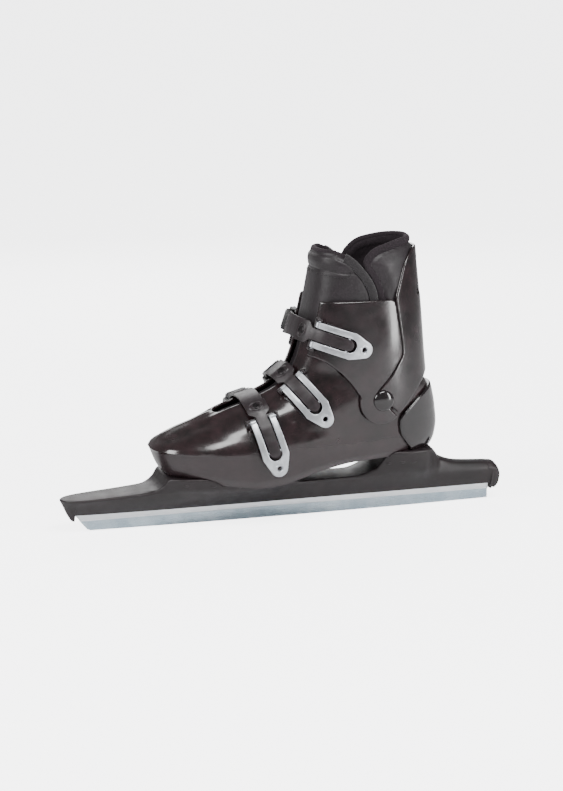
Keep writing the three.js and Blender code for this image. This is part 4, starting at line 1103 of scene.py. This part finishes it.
def strapLine(outline, offset, lift, lead=()):
    spacedOut = [np.array(p) for p in lead]
    for i, here in enumerate(outline):
        along = outline[min(i + 3, len(outline) - 1)] - outline[max(i - 3, 0)]
        along = along / np.linalg.norm(along)
        height = offset + lift * smoothstep(np.linalg.norm(here - outline[0]), 4, 18)
        shifted = np.array([here[0] + along[1] * height, here[1] - along[0] * height])
        if not spacedOut or (np.linalg.norm(shifted - spacedOut[-1]) > 2.4
                             and shifted[0] < spacedOut[-1][0] + 6):
            spacedOut.append(shifted)
    return smoothLine(spacedOut)


def firstLength(line, test):
    for s in np.arange(0, line["length"][-1], 0.25):
        if test(lineAt(line, s), lineTurn(line, s)):
            return float(s)
    return float(line["length"][-1])


def strapRoute(spot, place):
    outline = planeOutline(spot, place)
    outline = outline[outline[:, 0] < 3]
    reach = buckle["pinReach"] + buckle["linkWidth"] / 2
    lead = [(reach * share, bow(reach * share)) for share in (1, 0.9, 0.75, 0.6, 0.45, 0.32, 0.2)]
    link = strapLine(outline, buckle["linkOffset"], spot["lift"], lead)
    ladder = strapLine(outline, buckle["ladderOffset"], spot["lift"])

    def turnedEnough(here, along):
        turn = math.atan2(-along[1], -along[0])
        return (turn + tau if turn < -1 else turn) >= buckle["catchTurn"]

    return {
        "link": link, "ladder": ladder, "entry": firstLength(ladder, turnedEnough),
        "linkHinge": firstLength(link, lambda here, along: here[0] <= 0),
        "ladderHinge": firstLength(ladder, lambda here, along: here[0] <= 0),
    }


def planeFrame(here, along, place):
    # frame whose X runs along a line of the buckle's plane, Z away from the boot
    x = Vector((along[0], 0, along[1]))
    y = Vector((0, -1, 0))
    turn = Matrix((x, y, x.cross(y))).transposed().to_4x4()
    turn.translation = Vector((here[0], 0, here[1]))
    return place @ turn


def strapObject(name, line, stations, width, thickness, place, material, edge=0.45):
    here, along = lineAt(line, stations), lineTurn(line, stations)
    out = np.stack([along[:, 1], -along[:, 0]], -1)
    rings = []
    for i, s in enumerate(stations):
        half, thick = width(s) / 2, thickness(s) / 2
        soft = min(edge, half * 0.45, thick * 0.9)
        corners = [(-half, -thick, soft), (half, -thick, soft), (half, thick, soft), (-half, thick, soft)]
        section = roundedLine(corners, steps=3)
        rings.append(np.stack([here[i, 0] + out[i, 0] * section[:, 1], section[:, 0],
                               here[i, 1] + out[i, 1] * section[:, 1]], -1))
    return loftObject(name, [moved(ring, place) for ring in rings], material, 40)


# ---- buckle pieces ----
forkHalf = buckle["width"] / 2
slotHalf = buckle["linkWidth"] / 2 + 1.1
earInner, earThickness = forkHalf + 0.4, 2.1
baseGap = 3


def arc(x, y, radius, start, end, steps=14):
    return [(x + radius * math.cos(t), y + radius * math.sin(t)) for t in np.linspace(start, end, steps)]


def forkOutline():
    length, tip = buckle["length"], 8.2
    slotEnd = buckle["pinReach"] + 2
    upper = [(-1.9, forkHalf - 0.6, 0.8), (length * 0.58, forkHalf - 0.3, 2),
             (length * 0.645, forkHalf + 0.1, 2.5),
             (length * 0.715, forkHalf - 1.4, 4), (length - tip * 0.7, tip + 0.2, 3)]
    lead = roundedLine([(-1.9, slotHalf, 0)] + upper, closed=False, steps=4)
    top = [tuple(p) for p in lead[:-1]] + arc(length - tip, 0, tip, 1.15, 0, 10)
    outline = top + [(x, -y) for x, y in top[::-1][1:]]
    return outline + arc(slotEnd, 0, slotHalf, -math.pi / 2, math.pi / 2, 16)


def buildFork(key, place):
    eyeAt = buckle["length"] * 0.85
    eye = arc(eyeAt, 0, 3.0, 0, tau * 31 / 32, 32)
    half = buckle["thickness"] / 2
    cuts = list(np.arange(0, 56, 1.6))
    body = plateObject(f"{key}Lever", [forkOutline(), eye], -half, half, forkAlloy, 0.8, bow, cuts, place)
    # eyelet in the round end and ears at the hinge
    seat = place @ Matrix.Translation((eyeAt, 0, bow(eyeAt))) @ Matrix.Rotation(math.radians(24), 4, "Y")
    eyelet = turnedRing(f"{key}Eyelet",
                        [(2.5, -1.8), (2.5, 1.3), (2.9, 1.9), (3.6, 2.2), (4.4, 2.1), (4.7, 1.5),
                         (3.6, 1.2), (3.4, -1.8)], seat, forkAlloy)
    knuckles = []
    for side in (-1, 1):
        inner, outer = slotHalf + 0.5, forkHalf - 0.9
        outwards = Matrix.Rotation(-side * math.pi / 2, 4, "X")
        turn = place @ Matrix.Translation((0, side * inner, 0)) @ outwards
        reach = outer - inner
        knuckles.append(turnedObject(f"{key}Knuckle{side}",
                                     [(0, 0), (2.3, 0), (2.7, 0.4), (2.7, reach - 0.4),
                                      (2.3, reach), (0, reach)], turn, forkAlloy, 24))
    made = joined(f"{key}Lever", [body, eyelet] + knuckles)
    return standsFor(made, f"{key}_fork", slot="fork_alloy")


def topLine(front, back, steps=12):
    return [(x, bow(x) - baseGap) for x in np.linspace(front, back, steps)]


def clearOfSwing(points):  # keeps the base out of the lever's swing about its hinge
    safe = []
    for x, z in points:
        away = math.hypot(x, z)
        if away < 3.8:
            x, z = x * 3.8 / away, z * 3.8 / away
        safe.append((x, z))
    return safe


def buildBase(key, place):
    tongue = clearOfSwing(topLine(-3.2, 26, 24)) + [(26, -8.4), (-3.2, -9.5)]
    foot = clearOfSwing(topLine(-3.2, 6.5, 12)) + [(6.5, -9.6), (-3.2, -9.6)]
    half = buckle["linkWidth"] / 2
    parts = [plateObject(f"{key}Tongue", [tongue], -half, half, strapPlastic, 0.5, None, (), place, "xz"),
             plateObject(f"{key}Foot", [foot], -earInner + 0.1, earInner - 0.1, strapPlastic, 0.5, None, (),
                         place, "xz")]
    ear = [(-3.4, -9.4)] + arc(0, 0.2, 3.0, math.pi * 1.02, -0.05, 16) + [(3.6, -9.4)]
    for side in (-1, 1):
        low, high = sorted((side * earInner, side * (earInner + earThickness)))
        parts.append(plateObject(f"{key}Ear{side}", [ear], low, high, strapPlastic, 0.45, None, (), place,
                                 "xz"))
    # fine serrations along both flanks of the tongue, under the lever's prongs
    made = joined(f"{key}BuckleBase", parts)
    standsFor(made, f"{key}_buckle_base", slot="strap_plastic")
    spots = []
    for x in np.arange(6.5, 25.5, 1.5):
        for side in (-1, 1):
            at = place @ Vector((x, side * (half + 0.2), bow(x) - baseGap - 0.7))
            spots.append((at, place.to_3x3() @ Vector((1, 0, 0)), place.to_3x3() @ Vector((0, side, 0.4))))
    teeth = repeated(f"{key}BaseTeeth", toothTree, spots, (1.1, 1.1, 1.5), strapPlastic)
    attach(teeth, nodeBodies[f"{key}_buckle_base"])


def pinObject(name, start, end, place):  # plain pin along the frame's Y with chamfered ends
    radius, chamfer = buckle["pinRadius"], 0.25
    base = place @ Matrix.Translation((0, start, 0)) @ Matrix.Rotation(-math.pi / 2, 4, "X")
    reach = end - start
    profile = [(0, 0), (radius - chamfer, 0), (radius, chamfer), (radius, reach - chamfer),
               (radius - chamfer, reach), (0, reach)]
    return turnedObject(name, profile, base, pinSteel, 20, 30)


def buildHingePins(key, place):
    for end, side in (("toe", -1), ("heel", 1)):
        ends = sorted((side * (slotHalf + 0.6), side * (earInner + earThickness + 0.25)))
        made = pinObject(f"{key}HingePin_{end}", ends[0], ends[1], place)
        standsFor(made, f"{key}_hinge_pin_{end}_side", slot="zinc_steel")
    at = place @ Matrix.Translation((buckle["pinReach"], 0, bow(buckle["pinReach"])))
    standsFor(pinObject(f"{key}LinkPin", -forkHalf + 2, forkHalf - 2, at), f"{key}_link_pin",
              slot="zinc_steel")


def headedRivet(name, node, radius, headHeight, stem, stemRadius, place, slotName="zinc_steel", dimple=0.0):
    profile = [(0, -stem), (stemRadius, -stem), (stemRadius, 0), (radius - 0.2, 0), (radius, 0.2),
               (radius * 0.93, headHeight * 0.62), (radius * 0.62, headHeight), (radius * 0.34, headHeight)]
    if dimple:
        profile += [(radius * 0.26, headHeight - dimple), (0, headHeight - dimple)]
    else:
        profile += [(0, headHeight)]
    return standsFor(turnedObject(name, profile, place, pinSteel, 28, 35), node, slot=slotName)


def buildLink(key, place, route):
    line, hingeAt = route["link"], route["linkHinge"]
    radius = buckle["linkWidth"] / 2
    full = buckle["strapWidth"] + 1

    def width(s):
        if s < radius:
            return 2 * math.sqrt(max(radius**2 - (radius - s)**2, 0.4))
        return buckle["linkWidth"] + (full - buckle["linkWidth"]) * float(smoothstep(s, hingeAt + 3.4,
                                                                                     hingeAt + 9))

    def thickness(s):
        return 3.7 - 1.3 * float(smoothstep(s, 12, 22))
    stations = np.concatenate([np.linspace(0.05, radius, 9), np.arange(radius + 0.8, hingeAt + 22, 0.9)])
    strip = strapObject(f"{key}StrapLink", line, stations, width, thickness, place, strapPlastic)
    # raised oval boss round the screw
    screw = hingeAt + buckle["screwAt"]
    seat = planeFrame(lineAt(line, screw), lineTurn(line, screw), place)
    oval = seat @ Matrix.Diagonal((0.85, 1.2, 1.0, 1.0))
    boss = turnedRing(f"{key}Boss",
                      [(4.3, 0.6), (4.6, 1.5), (5.0, 1.85), (5.6, 1.75), (6.4, 1.0), (4.3, 0.4)], oval,
                      strapPlastic)
    made = joined(f"{key}StrapLink", [strip, boss])
    standsFor(made, f"{key}_strap_link", slot="strap_plastic")
    cross = [(0, 0.75), (1.2, 0.75), (1.5, 1.15), (2.9, 1.3), (3.6, 1.1), (4.0, 0.5), (4.0, 0.3), (0.0, 0.3)]
    profile = [(0, -3.4), (1.9, -3.4), (1.9, 0.3)] + cross[::-1][1:4] + [(2.9, 1.55), (1.6, 1.75),
                                                                         (1.3, 1.2), (0, 1.2)]
    return standsFor(turnedObject(f"{key}StrapScrew", profile, seat, screwSteel, 28, 35),
                     f"{key}_strap_screw",
                     slot="zinc_steel")


def buildLadder(key, place, route):
    line = route["ladder"]
    start, entry = route["ladderHinge"] + 10, route["entry"]
    along = lineTurn(line, entry)
    straight = {"points": np.concatenate([lineAt(line, np.linspace(start, entry, 60)),
                                          lineAt(line, entry) + along * np.linspace(1, buckle["catchReach"],
                                                                                    12)[:, None]])}
    straight["length"] = np.concatenate([[0],
                                         np.cumsum(np.linalg.norm(np.diff(straight["points"], axis=0),
                                                                  axis=1))])
    total = straight["length"][-1]
    half = buckle["strapWidth"]
    strip = strapObject(f"{key}LadderStrap", straight, np.linspace(0.02, total - 0.02, 90),
                        lambda s: half - 1.6 * float(smoothstep(s, total - 4, total)),
                        lambda s: buckle["strapThickness"],
                        place, strapPlastic, 0.4)
    standsFor(strip, f"{key}_ladder_strap", slot="strap_plastic")
    spots = []
    begin = max(route["linkHinge"] + 23.5 - start, 4)
    for row, s in enumerate(np.arange(begin, total - 17.2, 1.7)):
        seat = planeFrame(lineAt(straight, s), lineTurn(straight, s), place)
        for k in range(8):
            across = (k - 3.5 + (0.25 if row % 2 else -0.25)) * 2.0
            spots.append((seat @ Vector((0, across, 1.05)), seat.to_3x3() @ Vector((1, 1, 0)),
                          seat.to_3x3() @ Vector((0, 0, 1))))
    if spots:
        teeth = repeated(f"{key}LadderTeeth", toothTree, spots, (1.35, 1.35, 0.8), strapPlastic)
        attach(teeth, f"{key}_strap")


catchHalf, catchWall = buckle["strapWidth"] / 2 + 0.7, 2.2


def buildCatch(key, place, route):
    entry = route["entry"]
    seat = planeFrame(lineAt(route["ladder"], entry), lineTurn(route["ladder"], entry), place)
    bed = [(-0.5, -1.4, 0.3), (22, -1.4, 1), (23.4, -5.6, 1.5), (-0.5, -5.4, 0.5)]
    parts = [plateObject(f"{key}Bed", [roundedLine(bed, steps=3)], -catchHalf - catchWall + 0.05,
                         catchHalf + catchWall - 0.05, catchPlastic, 0.5, None, (), seat, "xz")]
    wall = roundedLine([(0, -5, 0.4), (20.6, -5, 0.8), (20.4, 4, 3), (17, 8.7, 3), (10, 8.7, 3),
                        (0, 5, 1.5)], steps=5)
    for side in (-1, 1):
        low, high = sorted((side * catchHalf, side * (catchHalf + catchWall)))
        parts.append(plateObject(f"{key}Cheek{side}", [wall], low, high, catchPlastic, 0.45, None, (), seat,
                                 "xz"))
    made = joined(f"{key}CatchBody", parts)
    standsFor(made, f"{key}_catch_body", slot="catch_plastic")
    pawl = roundedLine([(1.6, 2.1, 0.3), (7, 1.4, 0.8), (13, 3, 2), (19, 4.2, 1), (19.6, 7.4, 1),
                        (15, 9.5, 2.5),
                        (6, 9.2, 2), (1, 8.6, 0.8)], steps=5)
    width = catchHalf - 0.3
    slab = plateObject(f"{key}Pawl", [pawl], -width, width, catchPlastic, 0.6, None, (), seat, "xz")
    standsFor(slab, f"{key}_catch_cam", slot="catch_plastic")
    spots = [(seat @ Vector((x, 0, 9.25)), seat.to_3x3() @ Vector((1, 0, 0)),
              seat.to_3x3() @ Vector((0, 0, 1)))
             for x in (3.0, 5.2, 7.4, 9.6)]
    ridges = repeated(f"{key}PawlRidges", ribTree, spots, (0.9, 2 * width - 4, 0.9), catchPlastic)
    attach(ridges, f"{key}_pawl")
    pinAt = seat @ Matrix.Translation((14, 0, 6))
    reach = catchHalf + catchWall + 0.9
    standsFor(pinObject(f"{key}CatchPin", -reach, reach, pinAt), f"{key}_catch_pin", slot="zinc_steel")
    headedRivet(f"{key}CatchRivet", f"{key}_catch_rivet", 3.0, 1.2, 6, 1.8,
                seat @ Matrix.Translation((18, 0, -1.1)), dimple=0.4)


for key, spot in buckleSpots.items():
    place = buckleFrame(spot)
    route = strapRoute(spot, place)
    buildFork(key, place)
    buildBase(key, place)
    buildHingePins(key, place)
    buildLink(key, place, route)
    buildLadder(key, place, route)
    buildCatch(key, place, route)
    headedRivet(f"{key}BaseRivet", f"{key}_base_rivet", 3.0, 0.9, 6, 1.8,
                place @ Matrix.Translation((20, 0, bow(20) - baseGap - 0.7)), dimple=0.3)
print("buckles made")


# ---- liner: padded leather boot inside the plastic one ----
liner = {
    "offset": -4.8, "wall": 5.5, "floor": 44.6,
    "footTop": [(-200, 400, 0), (-200, 175, 0), (26, 175, 6), (36, 144, 8), (40, 134, 4), (200, 134, 0),
                (200, 400, 0)],
    "collar": [(56, 119, 0), (56, 186, 4), (80, 190, 8), (79.5, 222, 16), (63, 248, 14), (74, 262, 16),
               (104, 269.5, 12), (124, 271.5, 4), (134, 262, 5), (138, 240, 0), (150, 119, 0)],
    "collarMedial": [(56, 119, 0), (56, 186, 4), (74, 196, 8), (62, 246, 14), (76, 264, 14),
                     (104, 270.5, 12),
                     (124, 272, 4), (134, 262, 5), (138, 240, 0), (150, 119, 0)],
    "tongue": [(-30, 183, 0), (-30, 261.5, 0), (38, 261.5, 3), (55, 254, 9), (71, 236, 14), (79, 219, 9),
               (77, 183, 3)],
    "knitBand": 7.5, "tape": 7.4, "fold": 3.4,
}


def simulated(made, pins, settings):
    # foam pushes the leather out between its seams; the stitched lines stay where they are
    before = np.array([v.co[:] for v in made.data.vertices])
    group = made.vertex_groups.new(name="seams")
    for i, weight in enumerate(pins):
        if weight > 0:
            group.add([i], float(min(weight, 1)), "REPLACE")
    cloth = made.modifiers.new("cloth", "CLOTH")
    cloth.settings.quality = 4
    cloth.settings.mass = 0.3
    cloth.settings.tension_stiffness = cloth.settings.compression_stiffness = settings["stiffness"]
    cloth.settings.shear_stiffness = settings["stiffness"] * 0.5
    cloth.settings.bending_stiffness = settings["bending"]
    cloth.settings.use_pressure = True
    cloth.settings.uniform_pressure_force = settings["pressure"]
    cloth.settings.vertex_group_mass = "seams"
    cloth.settings.effector_weights.gravity = 0
    cloth.collision_settings.use_collision = False
    cloth.point_cache.frame_start, cloth.point_cache.frame_end = 1, settings["frames"]
    for step in range(1, settings["frames"] + 1):
        bpy.context.scene.frame_set(step)
    convert(made)
    bpy.context.scene.frame_set(1)
    after = np.array([v.co[:] for v in made.data.vertices])
    step = after - before
    reach = np.linalg.norm(step, axis=1)
    most = settings["most"] * mm
    share = np.minimum(1, most / np.maximum(reach, 1e-9))
    made.data.vertices.foreach_set("co", (before + step * share[:, None]).ravel())
    made.data.update()
    made.vertex_groups.clear()
    print(made.name, "cloth moved", round(float(np.minimum(reach, most).max()) / mm, 2), "mm")
    return made


def softened(made):
    smooth = made.modifiers.new("soft", "SUBSURF")
    smooth.levels = smooth.render_levels = 1
    convert(made)
    shadeSmooth(made, 60)
    return made


def buildLinerFoot():
    levels = np.linspace(liner["floor"], 177, 70)
    around = 180
    points, _ = skinGrid(shellSkin, levels, around, liner["offset"])
    rows = points.reshape(len(levels), around, 3)
    under = []
    for ring in solePoints(rows[0], 6)[::-1]:
        ring[:, 2] += rows[0][:, 2].mean() - soleLevel - soleRise(rows[0][:, 0]).mean()
        under.append(ring)
    everything = np.concatenate(under + [points])
    faces = gridFaces(len(levels) + len(under), around)
    field = -insideBy(roundedLine(liner["footTop"]), everything[:, 0], everything[:, 2]) - 2.2
    solid = thickened(*clipped(everything, faces, field), liner["wall"], 2.2)
    made = makeObject("linerFoot", *solid, linerLeather, 60)
    standsFor(made, "liner_foot", slot="liner_leather")
    return made


def buildInsole():
    # felt footbed with a cupped heel and a raised arch, its edge rounded
    base = liner["floor"] + 4.4
    turns = np.arange(140) / 140 * tau
    edge = skinPoint(shellSkin, base + 1, turns, np.full(140, liner["offset"] - liner["wall"] - 0.5))
    rings = []
    for share, lift in ((0.02, 0), (0.4, 0), (0.75, 0), (0.93, 0), (0.985, 0.3), (1.0, 1.0), (0.985, 2.0),
                        (0.95, 2.6), (0.8, 2.5), (0.5, 2.4), (0.02, 2.4)):
        half = np.abs(edge[:, 1]).max()
        core = np.stack([np.clip(edge[:, 0], edge[:, 0].min() + half, edge[:, 0].max() - half),
                         0 * edge[:, 1]], -1)
        ring = core + (edge[:, :2] - core) * share
        cup = 1.4 * smoothstep(share, 0.6, 1.0) * smoothstep(ring[:, 0], 60, 120) * (lift > 1.5)
        rings.append(np.stack([ring[:, 0], ring[:, 1], base + soleRise(ring[:, 0]) * 0.93 + lift + cup], -1))
    made = loftObject("insoleFelt", rings, liningFelt, 50)
    return standsFor(made, "insole", slot="footbed_felt")


def collarField(points):
    lateral = insideBy(roundedLine(liner["collar"]), points[:, 0], points[:, 2])
    medial = insideBy(roundedLine(liner["collarMedial"]), points[:, 0], points[:, 2])
    return np.where(points[:, 1] < 0, lateral, medial)


def facingIn(made):  # which faces look towards the leg
    centres = np.array([face.center[:] for face in made.data.polygons]) / mm
    normals = np.array([face.normal[:] for face in made.data.polygons])
    return (normals[:, 0] * (centres[:, 0] - 72) + normals[:, 1] * centres[:, 1]) < 0, centres


def knitInside(made, depthOf, band):  # knit on the inside and on the band rolled over the edge
    inwards, centres = facingIn(made)
    made.data.materials.append(collarKnit)
    depth = depthOf(centres)
    for face, inner, deep in zip(made.data.polygons, inwards, depth):
        face.material_index = int(inner or deep < band)
    inside = np.zeros(len(made.data.vertices))
    for face in made.data.polygons:
        if inwards[face.index]:
            inside[list(face.vertices)] = 1
    return inside


def buildCollar():
    levels = np.linspace(119, 273, 92)
    points, faces = skinGrid(cuffSkin, levels, 200, liner["offset"])
    seamAt = liner["knitBand"]
    points, faces, _ = divided(points, faces, collarField(points) - seamAt)
    field = collarField(points)
    # the leather is quilted down to the knit edge and swells between its seams
    high = smoothstep(points[:, 2], 190, 200)
    dip = -1.7 * np.exp(-((field - seamAt - 0.2) / 0.9)**2)
    puff = 2.6 * smoothstep(field, seamAt, seamAt + 13) * smoothstep(points[:, 2], 196, 232)
    normals = meshNormals(points, faces)
    points = points + normals * ((dip + puff) * high)[:, None]
    cutPoints, cutFaces = clipped(points, faces, field - 3.0)
    made = makeObject("linerCollar", *thickened(cutPoints, cutFaces, liner["wall"], 3.0, 7), linerLeather,
                      60)
    inner = knitInside(made, collarField, seamAt)
    spots = np.array([v.co[:] for v in made.data.vertices]) / mm
    pinned = np.exp(-((collarField(spots) - seamAt) / 1.4)**2) + (spots[:, 2] < 200) + inner
    simulated(made, pinned, {"stiffness": 12, "bending": 1.5, "pressure": 2.2, "frames": 16, "most": 2.2})
    softened(made)
    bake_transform(made)
    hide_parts("liner_collar")
    return made


def patchDepth(points):  # how far below the tongue's folded top, along its slope
    return 261.5 - points[:, 2] - 3.4 * smoothstep(points[:, 0], 20, 52)


def buildTongue():
    line = roundedLine(liner["tongue"])

    def depthOf(spots):
        return insideBy(line, spots[:, 0], spots[:, 2])
    levels = np.linspace(183, 264, 84)
    points, faces = skinGrid(cuffSkin, levels, 260, liner["offset"])
    points, faces, _ = divided(points, faces, depthOf(points) - liner["fold"])
    field = depthOf(points)
    # padded patch along the folded top, quilted down at its stitched edge
    patchEnd = smoothstep(field, 4, 9)
    deep = patchDepth(points)
    puff = 1.7 * smoothstep(deep, 0, 7) * (1 - smoothstep(deep, 11, 18.6)) * patchEnd
    channel = -1.0 * np.exp(-((deep - 19) / 0.9)**2) * smoothstep(field, 5, 9)
    tapeStep = -0.9 * (1 - smoothstep(field, liner["tape"] - 0.6, liner["tape"] + 0.6)) * (points[:, 0] > 40)
    normals = meshNormals(points, faces)
    points = points + normals * (puff + channel + tapeStep)[:, None]
    cutPoints, cutFaces = clipped(points, faces, field - 2.6)
    made = makeObject("linerTongue", *thickened(cutPoints, cutFaces, liner["wall"], 2.6, 7), linerLeather,
                      60)
    inner = knitInside(made, depthOf, liner["fold"])
    spots = np.array([v.co[:] for v in made.data.vertices]) / mm
    pinned = np.exp(-((patchDepth(spots) - 19) / 1.5)**2) + (spots[:,
                                                                   2] < 205) + (depthOf(spots) < 9) + inner
    simulated(made, pinned, {"stiffness": 12, "bending": 1.5, "pressure": 1.8, "frames": 16, "most": 1.6})
    softened(made)
    standsFor(made, "liner_tongue", slot="liner_leather")
    return made


def tongueTape(side):
    # woven binding folded over the curved rear edge of the tongue
    line = roundedLine(liner["tongue"], steps=16)
    corner = [i for i, (x, z) in enumerate(line) if x > 44 and z > 196]
    edge = smoothLine([line[i] for i in corner][::4])
    rows = []
    stations = np.linspace(0.5, edge["length"][-1] - 0.5, 60)
    for s in stations:
        here, along = lineAt(edge, s), lineTurn(edge, s)
        inwards = np.array([along[1], -along[0]])
        ring = []
        for reach, lift in ((7.6, 0.1), (7.6, 1.0), (6.4, 1.5), (3, 1.7), (0.6, 1.4), (-0.9, 0.2),
                            (-1.2, -2.2),
                            (-0.9, -5.0), (0.6, -6.3), (2.4, -6.6), (3.2, -6.0), (3.0, -4.6), (1.0, -2.2),
                            (3.0, -0.6)):
            x, z = here + inwards * reach
            ring.append(onSkin(cuffSkin, x, z, side, liner["offset"] + lift))
        rows.append(np.array(ring))
    made = loftObject(f"tongueBinding{'Lateral' if side < 0 else 'Medial'}", rows, bindingTape, 55)
    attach(made, "ankle_cuff")


def stitchRow(name, line, side, pitch, offset):
    run = smoothLine(line)
    spots = []
    for s in np.arange(pitch, run["length"][-1], pitch):
        here, ahead = lineAt(run, s), lineAt(run, s + 0.8)
        a = onSkin(cuffSkin, *here, side, offset)
        b = onSkin(cuffSkin, *ahead, side, offset)
        c = onSkin(cuffSkin, *here, side, offset + 1)
        spots.append((a, b - a, c - a))
    made = repeated(name, stitchTree, spots, (2.1, 0.9, 0.7), stitchThread)
    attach(made, "ankle_cuff")


buildLinerFoot()
buildInsole()
buildCollar()
buildTongue()
for side, label in ((-1, "Lateral"), (1, "Medial")):
    tongueTape(side)
    stitchRow(f"patchStitches{label}",
              [(12, 240), (26, 238.6), (38, 236), (46, 235.6), (52, 240), (56, 247)], side, 3.0,
              liner["offset"] + 0.35)
print("liner made")


# ---- ankle rivets and bolts ----
def buildAnkleRivets():
    reach = skinHalfWidth(cuffSkin, *pivot)
    for label, side in (("lateral", -1), ("medial", 1)):
        seat = Matrix.Translation((pivot[0], side * (reach + 0.6),
                                   pivot[1])) @ Matrix.Rotation(-side * math.pi / 2, 4, "X")
        profile = [(0, -7.2), (3.4, -7.2), (3.4, 0), (9.6, 0), (10, 0.3), (10, 0.9)]
        profile += [(10 * math.cos(t), 0.9 + 3.4 * math.sin(t)) for t in np.linspace(0.12, math.pi / 2, 12)]
        made = turnedObject(f"ankleRivet_{label}", profile, seat, counterPlastic, 56, 60)
        standsFor(made, f"ankle_rivet_{label}", slot="holder_plastic")


buildAnkleRivets()
for node in ("front_bolt", "ball_bolt", "heel_front_bolt", "heel_rear_bolt"):
    for place in frame["nodes"][node].material_slots:
        place.material = pinSteel
print("rivets made")


# ---- stage, light and camera ----
stage = {"floor": "#f4f4f5", "sky": "#ffffff", "skyStrength": 0.3, "skySeen": 6.0, "floorGlow": 4.5}


def buildStage():
    size = 40000
    floorMaterial, _, surface = newMaterial("floorPaperWhite", {"Base Color": colour(stage["floor"]),
                                                                "Roughness": 0.9})
    floor = makeObject("floor", [(-size, -size, -0.2), (size, -size, -0.2), (size, size, -0.2),
                                 (-size, size, -0.2)], [(0, 1, 2, 3)], floorMaterial)
    # paper lit from below, as on a light table; only the camera sees the glow
    tree = floorMaterial.node_tree
    rays = addNode(tree, "ShaderNodeLightPath")
    glow = addNode(tree, "ShaderNodeMath", {"operation": "MULTIPLY"}, {1: stage["floorGlow"]},
                   {0: rays.outputs["Is Camera Ray"]})
    surface.inputs["Emission Color"].default_value = colour(stage["floor"])
    tree.links.new(glow.outputs[0], surface.inputs["Emission Strength"])
    world = bpy.data.worlds.new("studio")
    world.use_nodes = True
    background = world.node_tree.nodes["Background"]
    background.inputs["Color"].default_value = colour(stage["sky"])
    tree = world.node_tree
    rays = addNode(tree, "ShaderNodeLightPath")
    strength = addNode(tree, "ShaderNodeMapRange", {}, {"To Min": stage["skyStrength"],
                                                        "To Max": stage["skySeen"]},
                       {"Value": rays.outputs["Is Camera Ray"]})
    tree.links.new(strength.outputs["Result"], background.inputs["Strength"])
    bpy.context.scene.world = world


lamps = {  # place, target and size in metres, power in watts
    "keyLeft": ((-1.5, -0.5, 1.0), (0, 0, 0.1), (0.5, 0.9), 26),
    "topBox": ((0.12, -0.85, 1.5), (0, 0, 0.1), (0.9, 0.4), 22),
    "rimRight": ((1.05, -1.05, 0.38), (0.1, 0, 0.14), (0.24, 1.1), 17),
    "fillBack": ((0.2, 1.5, 0.9), (0, 0, 0.12), (1.2, 0.8), 14),
}


def softbox(name, place, target, size, power):
    lamp = bpy.data.lights.new(name, "AREA")
    lamp.shape = "RECTANGLE"
    lamp.size, lamp.size_y = size
    lamp.energy = power
    holder = bpy.data.objects.new(name, lamp)
    bpy.context.scene.collection.objects.link(holder)
    holder.location = place
    holder.rotation_euler = (Vector(target) - Vector(place)).to_track_quat("-Z", "Y").to_euler()


view = {"target": (-4.8, 0, 119), "azimuth": -17, "elevation": 12.5,  # millimetres, degrees
        "distance": 1.9, "lens": 90.364096, "sensor": 36}  # metres, then millimetres


def buildCamera():
    target = Vector(view["target"]) * mm
    azimuth, elevation = math.radians(view["azimuth"]), math.radians(view["elevation"])
    place = target + view["distance"] * Vector((math.sin(azimuth) * math.cos(elevation),
                                                -math.cos(azimuth) * math.cos(elevation),
                                                math.sin(elevation)))
    data = bpy.data.cameras.new("camera")
    data.sensor_fit = "VERTICAL"
    data.sensor_height = view["sensor"]
    data.lens = view["lens"]
    camera = bpy.data.objects.new("camera", data)
    bpy.context.scene.collection.objects.link(camera)
    camera.location = place
    camera.rotation_euler = (target - place).to_track_quat("-Z", "Y").to_euler()
    bpy.context.scene.camera = camera


buildStage()
for name, (place, target, size, power) in lamps.items():
    softbox(name, place, target, size, power)
buildCamera()
print("scene made")
